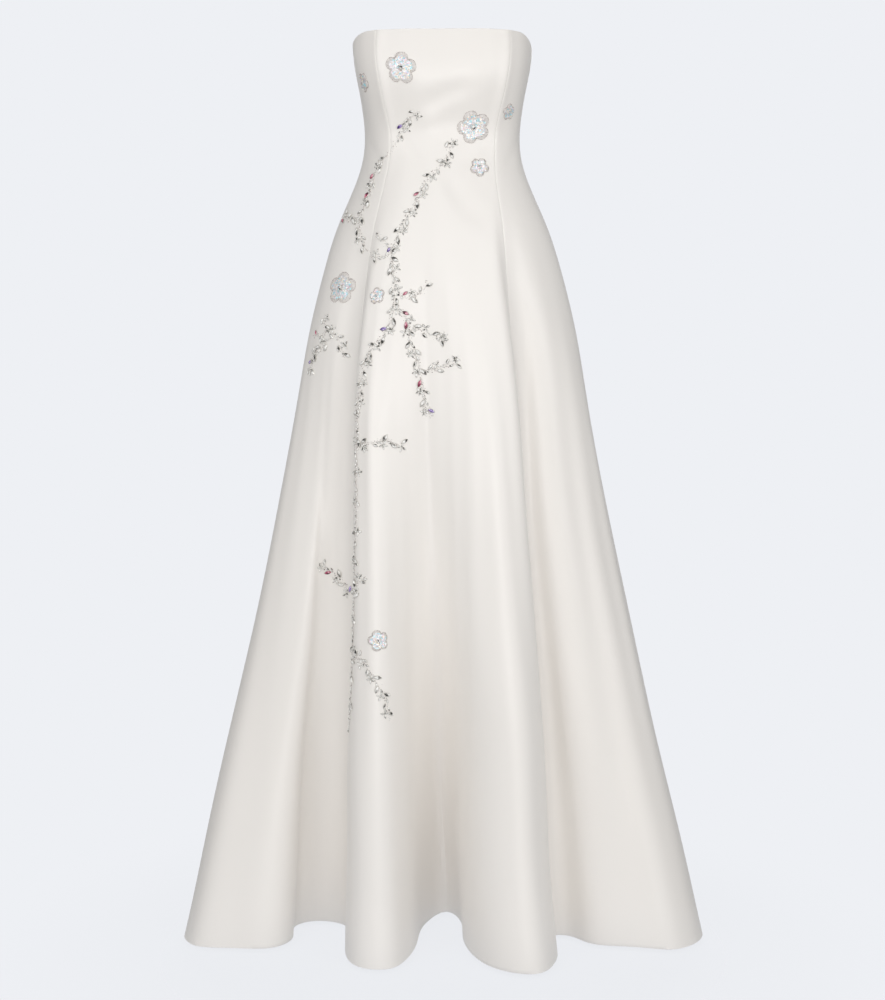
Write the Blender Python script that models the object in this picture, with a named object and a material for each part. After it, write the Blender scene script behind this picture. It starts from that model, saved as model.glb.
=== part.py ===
"""A strapless floor-length wedding gown, hollow, in the form it keeps while it is worn.

Seven gores run unbroken from the neckline to the hem, so there is no waist seam. They meet
at two front princess seams, two side seams, two back princess seams and a centre back seam,
which a concealed zip closes. The skirt falls from the hip in deep unpressed folds. Crystal
leaves and blossoms are sewn on the front, and stand up from the outside of the wall.

Metres, +Z up, -Y to the front, +X to the wearer's left. The origin is the centre of the
waist, where the wearer holds the gown up.
"""

import math
from collections import namedtuple
from functools import lru_cache

import bmesh
import bpy
import numpy as np
from mathutils import Matrix, Vector
from mathutils.geometry import delaunay_2d_cdt

# Driving sizes of the cloth
NECK_HEIGHT = 0.1424
NECK_DIP = 0.017
NECK_DIP_START = 0.145
NECK_DIP_SPREAD = 0.105
BODICE_BAND = 0.100
HEM_HEIGHT = -1.2644
WALL = 0.002
SEAM_GAP = 0.0003
FOLD_START = -0.110
FOLD_DEPTH_POWER = 1.90
FOLD_SPREAD_POWER = 1.45

# Body of the gown: a section at each height, before the folds. The squareness is the
# exponent of the superellipse: 2 is an ellipse, and more is boxier. The seam columns say how
# far round from the centre front each princess seam runs, as a share of the whole way round.
Section = namedtuple(
    "Section", "height half_width front back front_square back_square right_seam left_seam"
)
SECTIONS = (
    Section(-1.2644, 0.4185, 0.138, 0.388, 2.30, 2.2, 0.127, 0.127),
    Section(-1.040, 0.3665, 0.137, 0.343, 2.30, 2.2, 0.127, 0.125),
    Section(-0.800, 0.3110, 0.136, 0.293, 2.28, 2.2, 0.127, 0.125),
    Section(-0.560, 0.2575, 0.134, 0.240, 2.26, 2.2, 0.130, 0.122),
    Section(-0.400, 0.2280, 0.131, 0.203, 2.24, 2.2, 0.132, 0.120),
    Section(-0.290, 0.2065, 0.128, 0.175, 2.22, 2.2, 0.128, 0.113),
    Section(-0.200, 0.1815, 0.123, 0.150, 2.20, 2.2, 0.123, 0.106),
    Section(-0.140, 0.1610, 0.117, 0.131, 2.20, 2.2, 0.119, 0.104),
    Section(-0.100, 0.1437, 0.110, 0.116, 2.20, 2.2, 0.117, 0.105),
    Section(-0.060, 0.1275, 0.101, 0.101, 2.22, 2.2, 0.116, 0.109),
    Section(-0.030, 0.1200, 0.095, 0.092, 2.25, 2.2, 0.115, 0.114),
    Section(0.000, 0.1182, 0.094, 0.088, 2.32, 2.2, 0.116, 0.117),
    Section(0.030, 0.1208, 0.104, 0.092, 2.50, 2.2, 0.118, 0.119),
    Section(0.070, 0.1275, 0.120, 0.098, 2.80, 2.2, 0.120, 0.122),
    Section(0.115, 0.1350, 0.121, 0.101, 3.00, 2.2, 0.122, 0.124),
    Section(0.1424, 0.1348, 0.118, 0.100, 3.10, 2.2, 0.122, 0.125),
)

# Steps where a fold of the upper skirt laps over the cloth beside it, before the folds of
# the hem take over: how far that cloth lies back and is drawn in behind the fold, and the
# shares over which it steps back and then fades out
Step = namedtuple("Step", "name share back drawn_in turn fade")
STEPS = (
    Step("broad_fold_lap", 0.618, 0.026, 0.034, 0.010, 0.075),
    Step("tube_fold_lap", 0.380, 0.020, 0.026, -0.010, 0.075),
)
# How much of each step there is at a height
StepSize = namedtuple("StepSize", "height size")
STEP_SIZES = (
    StepSize(HEM_HEIGHT, 0.00),
    StepSize(-1.100, 0.20),
    StepSize(-0.900, 0.62),
    StepSize(-0.700, 0.90),
    StepSize(-0.500, 1.00),
    StepSize(-0.350, 0.82),
    StepSize(-0.200, 0.30),
    StepSize(-0.090, 0.00),
    StepSize(NECK_HEIGHT, 0.00),
)

# Plan of the hem, from the centre back round by the wearer's right: a row for each ridge,
# valley and turn of a fold.
Fold = namedtuple("Fold", "name x y")
HEM_FOLDS = (
    Fold("centre_back_ridge", 0.000, 0.374),
    Fold("back_right_valley", -0.088, 0.292),
    Fold("back_right_ridge", -0.190, 0.330),
    Fold("back_right_seam", -0.240, 0.228),
    Fold("side_back_right_ridge", -0.345, 0.222),
    Fold("side_back_right_valley", -0.352, 0.110),
    Fold("side_right_ridge", -0.4175, 0.022),
    Fold("side_right_turn", -0.3950, -0.024),
    Fold("right_panel_front", -0.3300, -0.036),
    Fold("right_panel_turn", -0.2680, -0.034),
    Fold("right_panel_edge", -0.2420, 0.004),
    Fold("right_recess_start", -0.2400, 0.064),
    Fold("right_recess", -0.2000, 0.0905),
    Fold("right_recess_end", -0.1640, 0.076),
    Fold("front_right_seam", -0.1510, 0.020),
    Fold("tube_fold_edge", -0.1480, -0.078),
    Fold("tube_fold_shoulder", -0.1260, -0.117),
    Fold("tube_fold_ridge", -0.0840, -0.125),
    Fold("tube_fold_turn", -0.0570, -0.088),
    Fold("tube_fold_slope", -0.0380, 0.005),
    Fold("centre_recess_start", -0.0180, 0.098),
    Fold("centre_recess", 0.0060, 0.1300),
    Fold("centre_recess_end", 0.0270, 0.090),
    Fold("broad_fold_side", 0.0330, 0.000),
    Fold("broad_fold_start", 0.0560, -0.086),
    Fold("broad_fold_shoulder", 0.1000, -0.136),
    Fold("broad_fold_ridge", 0.1420, -0.144),
    Fold("broad_fold_turn", 0.1730, -0.098),
    Fold("broad_fold_edge", 0.1760, -0.036),
    Fold("front_left_seam", 0.1700, 0.016),
    Fold("left_panel_start", 0.1950, 0.022),
    Fold("left_panel_rise", 0.2300, -0.010),
    Fold("left_panel_front", 0.3000, -0.031),
    Fold("left_panel_ridge", 0.3640, -0.042),
    Fold("side_left_turn", 0.4060, -0.010),
    Fold("side_left_ridge", 0.4200, 0.034),
    Fold("side_back_left_valley", 0.3520, 0.124),
    Fold("side_back_left_ridge", 0.3340, 0.232),
    Fold("back_left_seam", 0.2300, 0.240),
    Fold("back_left_ridge", 0.1720, 0.338),
    Fold("back_left_valley", 0.0780, 0.288),
)

# Gores in order round the gown: where each begins, as a share of the way round from the
# centre back, the fold that this seam meets at the hem, and the columns of its mesh.
Gore = namedtuple("Gore", "name start hem_fold columns")
GORES = (
    Gore("back_right", 0.000, "centre_back_ridge", 13),
    Gore("side_back_right", 0.115, "back_right_seam", 12),
    Gore("side_front_right", 0.250, "side_right_ridge", 18),
    Gore("front_centre", 0.373, "front_right_seam", 38),
    Gore("side_front_left", 0.627, "front_left_seam", 13),
    Gore("side_back_left", 0.750, "side_left_ridge", 12),
    Gore("back_left", 0.885, "back_left_seam", 13),
)

# Nominal heights of the mesh's rows, from the neckline to the hem
ROWS = (
    NECK_HEIGHT, 0.118, 0.092, 0.062, 0.032, 0.004, -0.024, -0.054, -0.090, -0.140,
    -0.205, -0.290, -0.400, -0.540, -0.700, -0.880, -1.070, HEM_HEIGHT,
)

# Stems of the embroidery, as places on the cloth: the share round and the height. Only the
# crystal leaves along them stand up here, because the stems are strings of small beads.
Stem = namedtuple("Stem", "name leaf_step places")
STEMS = (
    Stem("trunk", 0.0150, (
        (0.519, -0.018), (0.514, -0.040), (0.477, -0.067), (0.456, -0.099), (0.441, -0.123),
        (0.428, -0.150), (0.421, -0.178), (0.430, -0.212), (0.434, -0.245), (0.430, -0.286),
        (0.415, -0.311), (0.404, -0.334), (0.399, -0.364), (0.397, -0.413),
    )),
    Stem("lower_trunk", 0.0450, (
        (0.397, -0.413), (0.397, -0.471), (0.397, -0.550), (0.397, -0.623), (0.396, -0.700),
        (0.395, -0.764), (0.394, -0.846), (0.393, -0.905),
    )),
    Stem("bodice_branch", 0.0140, (
        (0.435, 0.025), (0.402, 0.004), (0.383, -0.020), (0.360, -0.041), (0.343, -0.064),
        (0.343, -0.094), (0.339, -0.120), (0.349, -0.153), (0.367, -0.175), (0.401, -0.185),
        (0.421, -0.178),
    )),
    Stem("waist_twig", 0.0140, ((0.294, -0.124), (0.315, -0.127), (0.337, -0.124))),
    Stem("waist_leaflet", 0.0140, ((0.383, -0.151), (0.406, -0.166), (0.419, -0.177))),
    Stem("hip_twig", 0.0140, (
        (0.433, -0.240), (0.460, -0.244), (0.479, -0.239), (0.489, -0.219),
    )),
    Stem("hip_branch", 0.0145, (
        (0.439, -0.257), (0.455, -0.275), (0.469, -0.289), (0.484, -0.295), (0.501, -0.303),
        (0.518, -0.310),
    )),
    Stem("thigh_branch", 0.0150, (
        (0.460, -0.281), (0.463, -0.304), (0.474, -0.333), (0.480, -0.358), (0.484, -0.386),
        (0.486, -0.404), (0.492, -0.422),
    )),
    Stem("thigh_twig", 0.0145, (
        (0.478, -0.349), (0.491, -0.352), (0.507, -0.347), (0.531, -0.341),
    )),
    Stem("side_hip_spray", 0.0140, (
        (0.306, -0.276), (0.315, -0.293), (0.333, -0.300), (0.342, -0.317), (0.348, -0.334),
    )),
    Stem("side_hip_branch", 0.0140, (
        (0.323, -0.305), (0.307, -0.320), (0.292, -0.334), (0.290, -0.360),
    )),
    Stem("side_hip_twig", 0.0140, ((0.315, -0.294), (0.299, -0.303), (0.286, -0.300))),
    Stem("thigh_side_twig", 0.0150, (
        (0.397, -0.465), (0.414, -0.459), (0.430, -0.457), (0.456, -0.462),
    )),
    Stem("knee_side_twig", 0.0145, (
        (0.357, -0.697), (0.351, -0.680), (0.343, -0.665), (0.332, -0.651),
    )),
    Stem("knee_leaflet", 0.0140, ((0.397, -0.690), (0.403, -0.668), (0.410, -0.660))),
    Stem("shin_branch", 0.0150, ((0.395, -0.790), (0.401, -0.783), (0.407, -0.776))),
    Stem("shin_twig", 0.0150, (
        (0.401, -0.782), (0.411, -0.798), (0.417, -0.822), (0.422, -0.847), (0.424, -0.879),
    )),
)

# Blossoms of the embroidery: their places on the cloth, radii and turns
Blossom = namedtuple("Blossom", "name share height radius turn_degrees")
BLOSSOMS = (
    Blossom("bust_blossom", 0.418, 0.0870, 0.0225, 10),
    Blossom("side_bust_blossom", 0.327, 0.0720, 0.0140, 50),
    Blossom("waist_blossom", 0.575, 0.0050, 0.0240, 40),
    Blossom("side_waist_blossom", 0.651, 0.0290, 0.0120, 25),
    Blossom("small_waist_blossom", 0.593, -0.0530, 0.0140, 60),
    Blossom("hip_blossom", 0.332, -0.2300, 0.0240, 15),
    Blossom("small_hip_blossom", 0.407, -0.2420, 0.0120, 30),
    Blossom("shin_blossom", 0.418, -0.7560, 0.0160, 35),
)
PETALS = 5
PETAL_NOTCH = 0.30
# Profile across a blossom: a row for each ring of its points
PetalRing = namedtuple("PetalRing", "reach height points")
PETAL_RINGS = (
    PetalRing(0.00, 0.0030, 1),
    PetalRing(0.24, 0.0012, 5),
    PetalRing(0.62, 0.0022, 10),
    PetalRing(0.90, 0.0014, 20),
    PetalRing(1.00, 0.0000, 20),
    PetalRing(1.15, 0.0000, 15),
)
GUARD_REACH = PETAL_RINGS[-1].reach

# Crystal leaves
LEAF_HALF_LENGTH = 0.0054
LEAF_HALF_WIDTH = 0.0026
LEAF_RIDGE = 0.45
LEAF_HEIGHT = 0.0021
LEAF_LEAN_DEGREES = 38
LEAF_OFFSET = 0.0050
LEAF_SPACING = 0.0106
CLEAR_OF_SEAM = 0.004
CLEAR_OF_MOTIF = 0.0012

# Concealed zip: only the slider's bridge and its pull tab show, at the top of the back seam
ZIP_HEIGHT = 0.118
SLIDER_WIDTH = 0.0056
SLIDER_LENGTH = 0.0080
SLIDER_DEPTH = 0.0012
EAR_WIDTH = 0.0008
EAR_HEIGHT = 0.0022
BAR_RADIUS = 0.0006
EYE_BORE = 0.0009
EYE_RADIUS = 0.0019
EYE_WIDTH = 0.0024
TAB_DEPTH = 0.0011
# Right half of the tab's outline, from the eye down
TabPoint = namedtuple("TabPoint", "half_width down")
TAB_OUTLINE = (
    TabPoint(0.0014, 0.0012),
    TabPoint(0.0014, 0.0090),
    TabPoint(0.0029, 0.0140),
    TabPoint(0.0029, 0.0176),
    TabPoint(0.0017, 0.0200),
)
BAR_STANDOFF = SLIDER_DEPTH + EYE_RADIUS + 0.0004

RING_SAMPLES = 1440
HEM_SAMPLES = 4000
SMALL = 1e-4


class Spline:
    """A smooth line through values at increasing places, with no jump in its curvature."""

    def __init__(self, places, values, period=None):
        self.x = np.asarray(places, float)
        self.y = np.asarray(values, float)
        if period is not None:
            self.x = np.append(self.x, self.x[0] + period)
            self.y = np.append(self.y, self.y[0])
        self.period = period
        gaps = np.diff(self.x)
        slopes = np.diff(self.y) / gaps
        count = len(self.x)
        system = np.zeros((count, count))
        right = np.zeros(count)
        for i in range(1, count - 1):
            system[i, i - 1 : i + 2] = gaps[i - 1], 2 * (gaps[i - 1] + gaps[i]), gaps[i]
            right[i] = 6 * (slopes[i] - slopes[i - 1])
        if period is None:
            system[0, 0] = system[-1, -1] = 1
        else:
            system[0, 0], system[0, -1] = 1, -1
            system[-1, 0], system[-1, 1] = 2 * gaps[0], gaps[0]
            system[-1, -1], system[-1, -2] = 2 * gaps[-1], gaps[-1]
            right[-1] = 6 * (slopes[0] - slopes[-1])
        self.bend = np.linalg.solve(system, right)

    def __call__(self, at):
        at = np.asarray(at, float)
        if self.period is not None:
            at = self.x[0] + np.mod(at - self.x[0], self.period)
        i = np.clip(np.searchsorted(self.x, at, side="right") - 1, 0, len(self.x) - 2)
        gap = self.x[i + 1] - self.x[i]
        t = (at - self.x[i]) / gap
        curve = (t**3 - t) * self.bend[i + 1] + ((1 - t) ** 3 - (1 - t)) * self.bend[i]
        return (1 - t) * self.y[i] + t * self.y[i + 1] + gap**2 / 6 * curve


SECTION_SIZES = {
    field: Spline([s.height for s in SECTIONS], [getattr(s, field) for s in SECTIONS])
    for field in Section._fields[1:]
}


@lru_cache(maxsize=20000)
def section_ring(height):
    """The section before the folds: shares of the way round, and x and y at each."""
    size = {field: float(line(height)) for field, line in SECTION_SIZES.items()}
    angle = np.linspace(0, 2 * math.pi, RING_SAMPLES + 1)
    sine, cosine = np.sin(angle), np.cos(angle)
    at_back = cosine > 0
    power = 2 / np.where(at_back, size["back_square"], size["front_square"])
    depth = np.where(at_back, size["back"], size["front"])
    x = -size["half_width"] * np.sign(sine) * np.abs(sine) ** power
    y = depth * np.sign(cosine) * np.abs(cosine) ** power
    way = np.concatenate(([0], np.cumsum(np.hypot(np.diff(x), np.diff(y)))))
    return way / way[-1], x, y


def seam_bends():
    """How the shares near each front princess seam shift when that seam moves."""
    starts = [gore.start for gore in GORES]
    names = [gore.name for gore in GORES]
    at_seam = {"right_seam": names.index("front_centre"),
               "left_seam": names.index("side_front_left")}
    return {
        field: Spline(starts, [float(i == seam) for i in range(len(starts))], 1.0)
        for field, seam in at_seam.items()
    }


SEAM_BENDS = seam_bends()


def on_section(shares, height):
    """Points of the section before the folds, with the seams where they run there."""
    way, x, y = section_ring(round(float(height), 7))
    shares = np.mod(shares, 1.0)
    hem = SECTIONS[0]
    right = hem.right_seam - float(SECTION_SIZES["right_seam"](height))
    left = float(SECTION_SIZES["left_seam"](height)) - hem.left_seam
    placed = shares + right * SEAM_BENDS["right_seam"](shares)
    placed = placed + left * SEAM_BENDS["left_seam"](shares)
    return np.interp(placed, way, x), np.interp(placed, way, y)


def make_hem():
    """The folded hem: x and y as splines of the way along it, and the way at each share."""
    points = np.array([(fold.x, fold.y) for fold in HEM_FOLDS])
    chords = np.linalg.norm(np.roll(points, -1, axis=0) - points, axis=1)
    places = np.concatenate(([0], np.cumsum(chords)))
    rough = [Spline(places[:-1], points[:, axis], places[-1]) for axis in (0, 1)]
    fine = np.linspace(0, places[-1], HEM_SAMPLES + 1)
    x, y = rough[0](fine), rough[1](fine)
    way = np.concatenate(([0], np.cumsum(np.hypot(np.diff(x), np.diff(y)))))
    names = [fold.name for fold in HEM_FOLDS]
    at_seam = np.interp([places[names.index(gore.hem_fold)] for gore in GORES], fine, way)
    starts = np.array([gore.start for gore in GORES])
    spare = Spline(starts, at_seam - way[-1] * starts, 1.0)
    return way, x, y, spare


HEM_WAY, HEM_X, HEM_Y, HEM_SPARE = make_hem()


def on_hem(shares):
    shares = np.mod(shares, 1.0)
    way = np.mod(HEM_WAY[-1] * shares + HEM_SPARE(shares), HEM_WAY[-1])
    return np.interp(way, HEM_WAY, HEM_X), np.interp(way, HEM_WAY, HEM_Y)


STEP_SIZE = Spline([row.height for row in STEP_SIZES], [row.size for row in STEP_SIZES])


def surface(shares, height):
    """Points of the gown's outer face at one height, as rows of x, y and z."""
    x, y = on_section(shares, height)
    fall = max(0.0, (FOLD_START - height) / (FOLD_START - HEM_HEIGHT))
    hem_x, hem_y = on_hem(shares)
    plain_x, plain_y = on_section(shares, HEM_HEIGHT)
    x = x + fall**FOLD_SPREAD_POWER * (hem_x - plain_x)
    y = y + fall**FOLD_DEPTH_POWER * (hem_y - plain_y)
    for step in STEPS:
        past = (np.mod(shares, 1.0) - step.share) / step.turn
        fade = np.exp(-((np.maximum(past, 0) * step.turn / step.fade) ** 2))
        size = float(STEP_SIZE(height)) * fade * (1 + np.tanh(past)) / 2
        x = x - math.copysign(step.drawn_in, step.turn) * size
        y = y + step.back * size
    return np.stack([x, y, np.full_like(x, height)], axis=-1)


def height_at(share, level):
    """The real height of a nominal level: the neckline drops under the arms and at the back."""
    if level <= BODICE_BAND:
        return level
    from_front = abs((share % 1.0) - 0.5)
    past = min(1.0, max(0.0, (from_front - NECK_DIP_START) / NECK_DIP_SPREAD))
    dip = NECK_DIP * past * past * (3 - 2 * past)
    rise = (level - BODICE_BAND) / (NECK_HEIGHT - BODICE_BAND)
    return level - dip * rise


def point_and_axes(share, level):
    """A point of the outer face, the way round, the way up and the outward normal there."""
    height = height_at(share, level)
    before, point, after = surface(np.array([share - SMALL, share, share + SMALL]), height)
    low = surface(np.array([share]), height - SMALL)[0]
    high = surface(np.array([share]), height + SMALL)[0]
    around = Vector(after - before) / (2 * SMALL)
    upward = Vector(high - low) / (2 * SMALL)
    return Vector(point), around, upward, around.cross(upward).normalized()


def moved(motif, along, across):
    """The share and level of a point given in metres from a motif's centre, in its turn."""
    cosine, sine = math.cos(motif["turn"]), math.sin(motif["turn"])
    right = along * cosine - across * sine
    up = along * sine + across * cosine
    return motif["share"] + right / motif["per_share"], motif["level"] + up / motif["per_level"]


def local(motif, share, level):
    """The metres along and across a motif's own axes of a point on the cloth."""
    cosine, sine = math.cos(motif["turn"]), math.sin(motif["turn"])
    right = (share - motif["share"]) * motif["per_share"]
    up = (level - motif["level"]) * motif["per_level"]
    return right * cosine + up * sine, up * cosine - right * sine


def make_motif(kind, share, level, turn, radius):
    point, around, upward, _ = point_and_axes(share, level)
    return {
        "kind": kind, "share": share, "level": level, "turn": turn, "radius": radius,
        "centre": point, "per_share": around.length, "per_level": upward.length,
    }


def petal_edge(angle):
    """How far the blossom's edge reaches at an angle, as a share of its radius."""
    return 1 - PETAL_NOTCH * (1 - abs(math.cos(PETALS * angle / 2))) ** 1.5


def blossom_height(motif, share, level):
    along, across = local(motif, share, level)
    edge = motif["radius"] * petal_edge(math.atan2(across, along))
    reach = math.hypot(along, across) / edge
    rings = PETAL_RINGS
    return float(np.interp(reach, [r.reach for r in rings], [r.height for r in rings]))


def leaf_height(motif, share, level):
    along, across = (abs(v) for v in local(motif, share, level))
    tip = (LEAF_HALF_LENGTH - along) / (LEAF_HALF_LENGTH * (1 - LEAF_RIDGE))
    half_width = LEAF_HALF_WIDTH * min(1.0, max(tip, 0.0))
    if across >= half_width:
        return 0.0
    return LEAF_HEIGHT * min(1.0, tip) * (1 - across / half_width)


RELIEF = {"blossom": blossom_height, "leaf": leaf_height}


def motif_outline(motif):
    """Points and edges, as shares and levels, that shape a motif in the mesh."""
    if motif["kind"] == "leaf":
        ridge = LEAF_HALF_LENGTH * LEAF_RIDGE
        shape = [
            (LEAF_HALF_LENGTH, 0), (ridge, LEAF_HALF_WIDTH), (-ridge, LEAF_HALF_WIDTH),
            (-LEAF_HALF_LENGTH, 0), (-ridge, -LEAF_HALF_WIDTH), (ridge, -LEAF_HALF_WIDTH),
            (ridge, 0), (-ridge, 0),
        ]
        edges = [(i, (i + 1) % 6) for i in range(6)] + [(6, 7)]
        return [moved(motif, *point) for point in shape], edges
    points, edges = [], []
    for ring in PETAL_RINGS:
        first = len(points)
        for i in range(ring.points):
            angle = 2 * math.pi * i / ring.points
            reach = ring.reach * motif["radius"] * petal_edge(angle)
            points.append(moved(motif, reach * math.cos(angle), reach * math.sin(angle)))
        if ring.points > PETALS:
            edges += [(first + i, first + (i + 1) % ring.points) for i in range(ring.points)]
    return points, edges


def clear_of_seams(motif):
    seams = [gore.start for gore in GORES] + [1.0]
    room = min(abs(motif["share"] - seam) for seam in seams) * motif["per_share"]
    return room > motif["radius"] + CLEAR_OF_SEAM


def clear_of_others(motif, others):
    """Whether a motif stands apart from those already placed."""
    return all(
        (motif["centre"] - other["centre"]).length
        > motif["radius"] + other["radius"] + CLEAR_OF_MOTIF
        for other in others
    )


def covers(motif, share, low, high):
    """Whether a motif lies over a stretch of the line that runs up the cloth at a share."""
    nearest = min(max(motif["level"], low), high)
    return math.hypot(*local(motif, share, nearest)) < motif["radius"] * GUARD_REACH


def along_stem(stem):
    """Places and directions along a stem at its leaf step: share, level and turn."""
    places = np.array(stem.places)
    solid = np.array([point_and_axes(*place)[0] for place in stem.places])
    way = np.concatenate(([0], np.cumsum(np.linalg.norm(np.diff(solid, axis=0), axis=1))))
    lines = [Spline(way, places[:, axis]) for axis in (0, 1)]
    for i in range(int(way[-1] / stem.leaf_step) + 1):
        here = i * stem.leaf_step
        share, level = float(lines[0](here)), float(lines[1](here))
        ahead = [float(line(here + SMALL)) for line in lines]
        _, around, upward, _ = point_and_axes(share, level)
        right = (ahead[0] - share) * around.length
        up = (ahead[1] - level) * upward.length
        yield i, share, level, math.atan2(up, right)


def place_motifs():
    """Every blossom, and each crystal leaf that has room beside its stem."""
    motifs = []
    for blossom in BLOSSOMS:
        turn = math.radians(blossom.turn_degrees)
        motifs.append(
            make_motif("blossom", blossom.share, blossom.height, turn, blossom.radius)
        )
    lean = math.radians(LEAF_LEAN_DEGREES)
    for stem in STEMS:
        for i, share, level, turn in along_stem(stem):
            side = 1 if i % 2 else -1
            stalk = make_motif("leaf", share, level, turn, 0)
            place = moved(stalk, LEAF_OFFSET / 2, side * LEAF_OFFSET)
            leaf = make_motif("leaf", *place, turn + side * lean, LEAF_HALF_LENGTH)
            others = [m for m in motifs if m["kind"] == "blossom"]
            near = [m for m in motifs if m["kind"] == "leaf"]
            spaced = all((leaf["centre"] - m["centre"]).length > LEAF_SPACING for m in near)
            if clear_of_seams(leaf) and clear_of_others(leaf, others) and spaced:
                motifs.append(leaf)
    return motifs


def relief(motifs, share, level):
    """How far the outer face stands out at a point, over the motifs near it."""
    highest = 0.0
    for motif in motifs:
        along, across = local(motif, share, level)
        if math.hypot(along, across) <= motif["radius"] + SMALL:
            highest = max(highest, RELIEF[motif["kind"]](motif, share, level))
    return highest


# The flat map that the outer face is triangulated in: millimetres round, and squeezed
# millimetres up, so that triangles run along the folds.
MAP_ROUND = 950.0
MAP_UP = 350.0
MAP_MERGE = 0.03
ON_SEAM = 1e-6


def gore_mesh(gore, end, motifs):
    """A closed wall: an outer face with its relief, a plain inner face, and the edges."""
    shares = np.linspace(gore.start, end, gore.columns + 1)
    across, down = gore.columns + 1, len(ROWS)
    flat = [Vector((s * MAP_ROUND, r * MAP_UP)) for r in ROWS for s in shares]
    inside = [m for m in motifs if gore.start < m["share"] < end]
    blossoms = [m for m in inside if m["kind"] == "blossom"]
    edges = [
        (row * across + c, (row + 1) * across + c)
        for row in range(down - 1)
        for c in range(across)
        if not any(covers(m, shares[c], ROWS[row + 1], ROWS[row]) for m in blossoms)
    ]
    edges += [
        (row * across + c, row * across + c + 1)
        for row in (0, down - 1)
        for c in range(across - 1)
    ]
    for motif in inside:
        points, outline = motif_outline(motif)
        edges += [(len(flat) + a, len(flat) + b) for a, b in outline]
        flat += [Vector((share * MAP_ROUND, level * MAP_UP)) for share, level in points]
    flat, _, triangles, sources, _, _ = delaunay_2d_cdt(flat, edges, [], 0, MAP_MERGE)
    index_of = {old: new for new, olds in enumerate(sources) for old in olds}
    grid = [[index_of[row * across + c] for c in range(across)] for row in range(down)]

    def seam_shift(share, around):
        if abs(share - gore.start) < ON_SEAM:
            return around.normalized() * SEAM_GAP / 2
        if abs(share - end) < ON_SEAM:
            return around.normalized() * -SEAM_GAP / 2
        return Vector()

    mesh = bmesh.new()
    outer, inner = [], {}
    on_grid = {i for row in grid for i in row}
    for i, place in enumerate(flat):
        share, level = place.x / MAP_ROUND, place.y / MAP_UP
        point, around, _, normal = point_and_axes(share, level)
        point = point + seam_shift(share, around)
        outer.append(mesh.verts.new(point + normal * relief(inside, share, level)))
        if i in on_grid:
            inner[i] = mesh.verts.new(point - normal * WALL)
    for triangle in triangles:
        mesh.faces.new([outer[i] for i in triangle])
    for row in range(down - 1):
        for c in range(across - 1):
            corners = (grid[row][c], grid[row][c + 1], grid[row + 1][c + 1], grid[row + 1][c])
            mesh.faces.new([inner[i] for i in corners])
    rim = grid[0][:-1] + [row[-1] for row in grid[:-1]]
    rim += grid[-1][:0:-1] + [row[0] for row in grid[:0:-1]]
    for a, b in zip(rim, rim[1:] + rim[:1]):
        low, high = sorted((a, b), key=lambda i: flat[i].y)
        mesh.faces.new((outer[low], outer[high], inner[high]))
        mesh.faces.new((outer[low], inner[high], inner[low]))
    bmesh.ops.recalc_face_normals(mesh, faces=mesh.faces)
    return mesh


def make_material(name, colour, roughness, metallic=0.0):
    material = bpy.data.materials.new(name)
    material.use_nodes = True
    shader = material.node_tree.nodes["Principled BSDF"]
    shader.inputs["Base Color"].default_value = (*colour, 1)
    shader.inputs["Roughness"].default_value = roughness
    shader.inputs["Metallic"].default_value = metallic
    return material


def add_object(name, mesh, collection, material):
    data = bpy.data.meshes.new(name)
    mesh.to_mesh(data)
    mesh.free()
    data.materials.append(material)
    made = bpy.data.objects.new(name, data)
    collection.objects.link(made)
    return made


def add_gores(collection, material):
    motifs = place_motifs()
    ends = [gore.start for gore in GORES[1:]] + [1.0]
    for gore, end in zip(GORES, ends):
        made = add_object(gore.name, gore_mesh(gore, end, motifs), collection, material)
        made.data.shade_smooth()
        made.data.set_sharp_from_angle(angle=math.radians(30))


def block(size, centre):
    mesh = bmesh.new()
    place = Matrix.Translation(centre) @ Matrix.Diagonal((*size, 1))
    bmesh.ops.create_cube(mesh, size=1, matrix=place)
    return mesh


def rod_along_x(radius, length, centre, sides):
    mesh = bmesh.new()
    place = Matrix.Translation(centre) @ Matrix.Rotation(math.pi / 2, 4, "Y")
    bmesh.ops.create_cone(
        mesh, cap_ends=True, segments=sides, radius1=radius, radius2=radius,
        depth=length, matrix=place,
    )
    return mesh


def with_boolean(target, other, operation):
    """Joins or cuts one mesh object with another, which stays as a hidden helper."""
    change = target.modifiers.new(operation.title(), "BOOLEAN")
    change.operation = operation
    change.object = other
    other.hide_render = True
    other.display_type = "WIRE"


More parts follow.
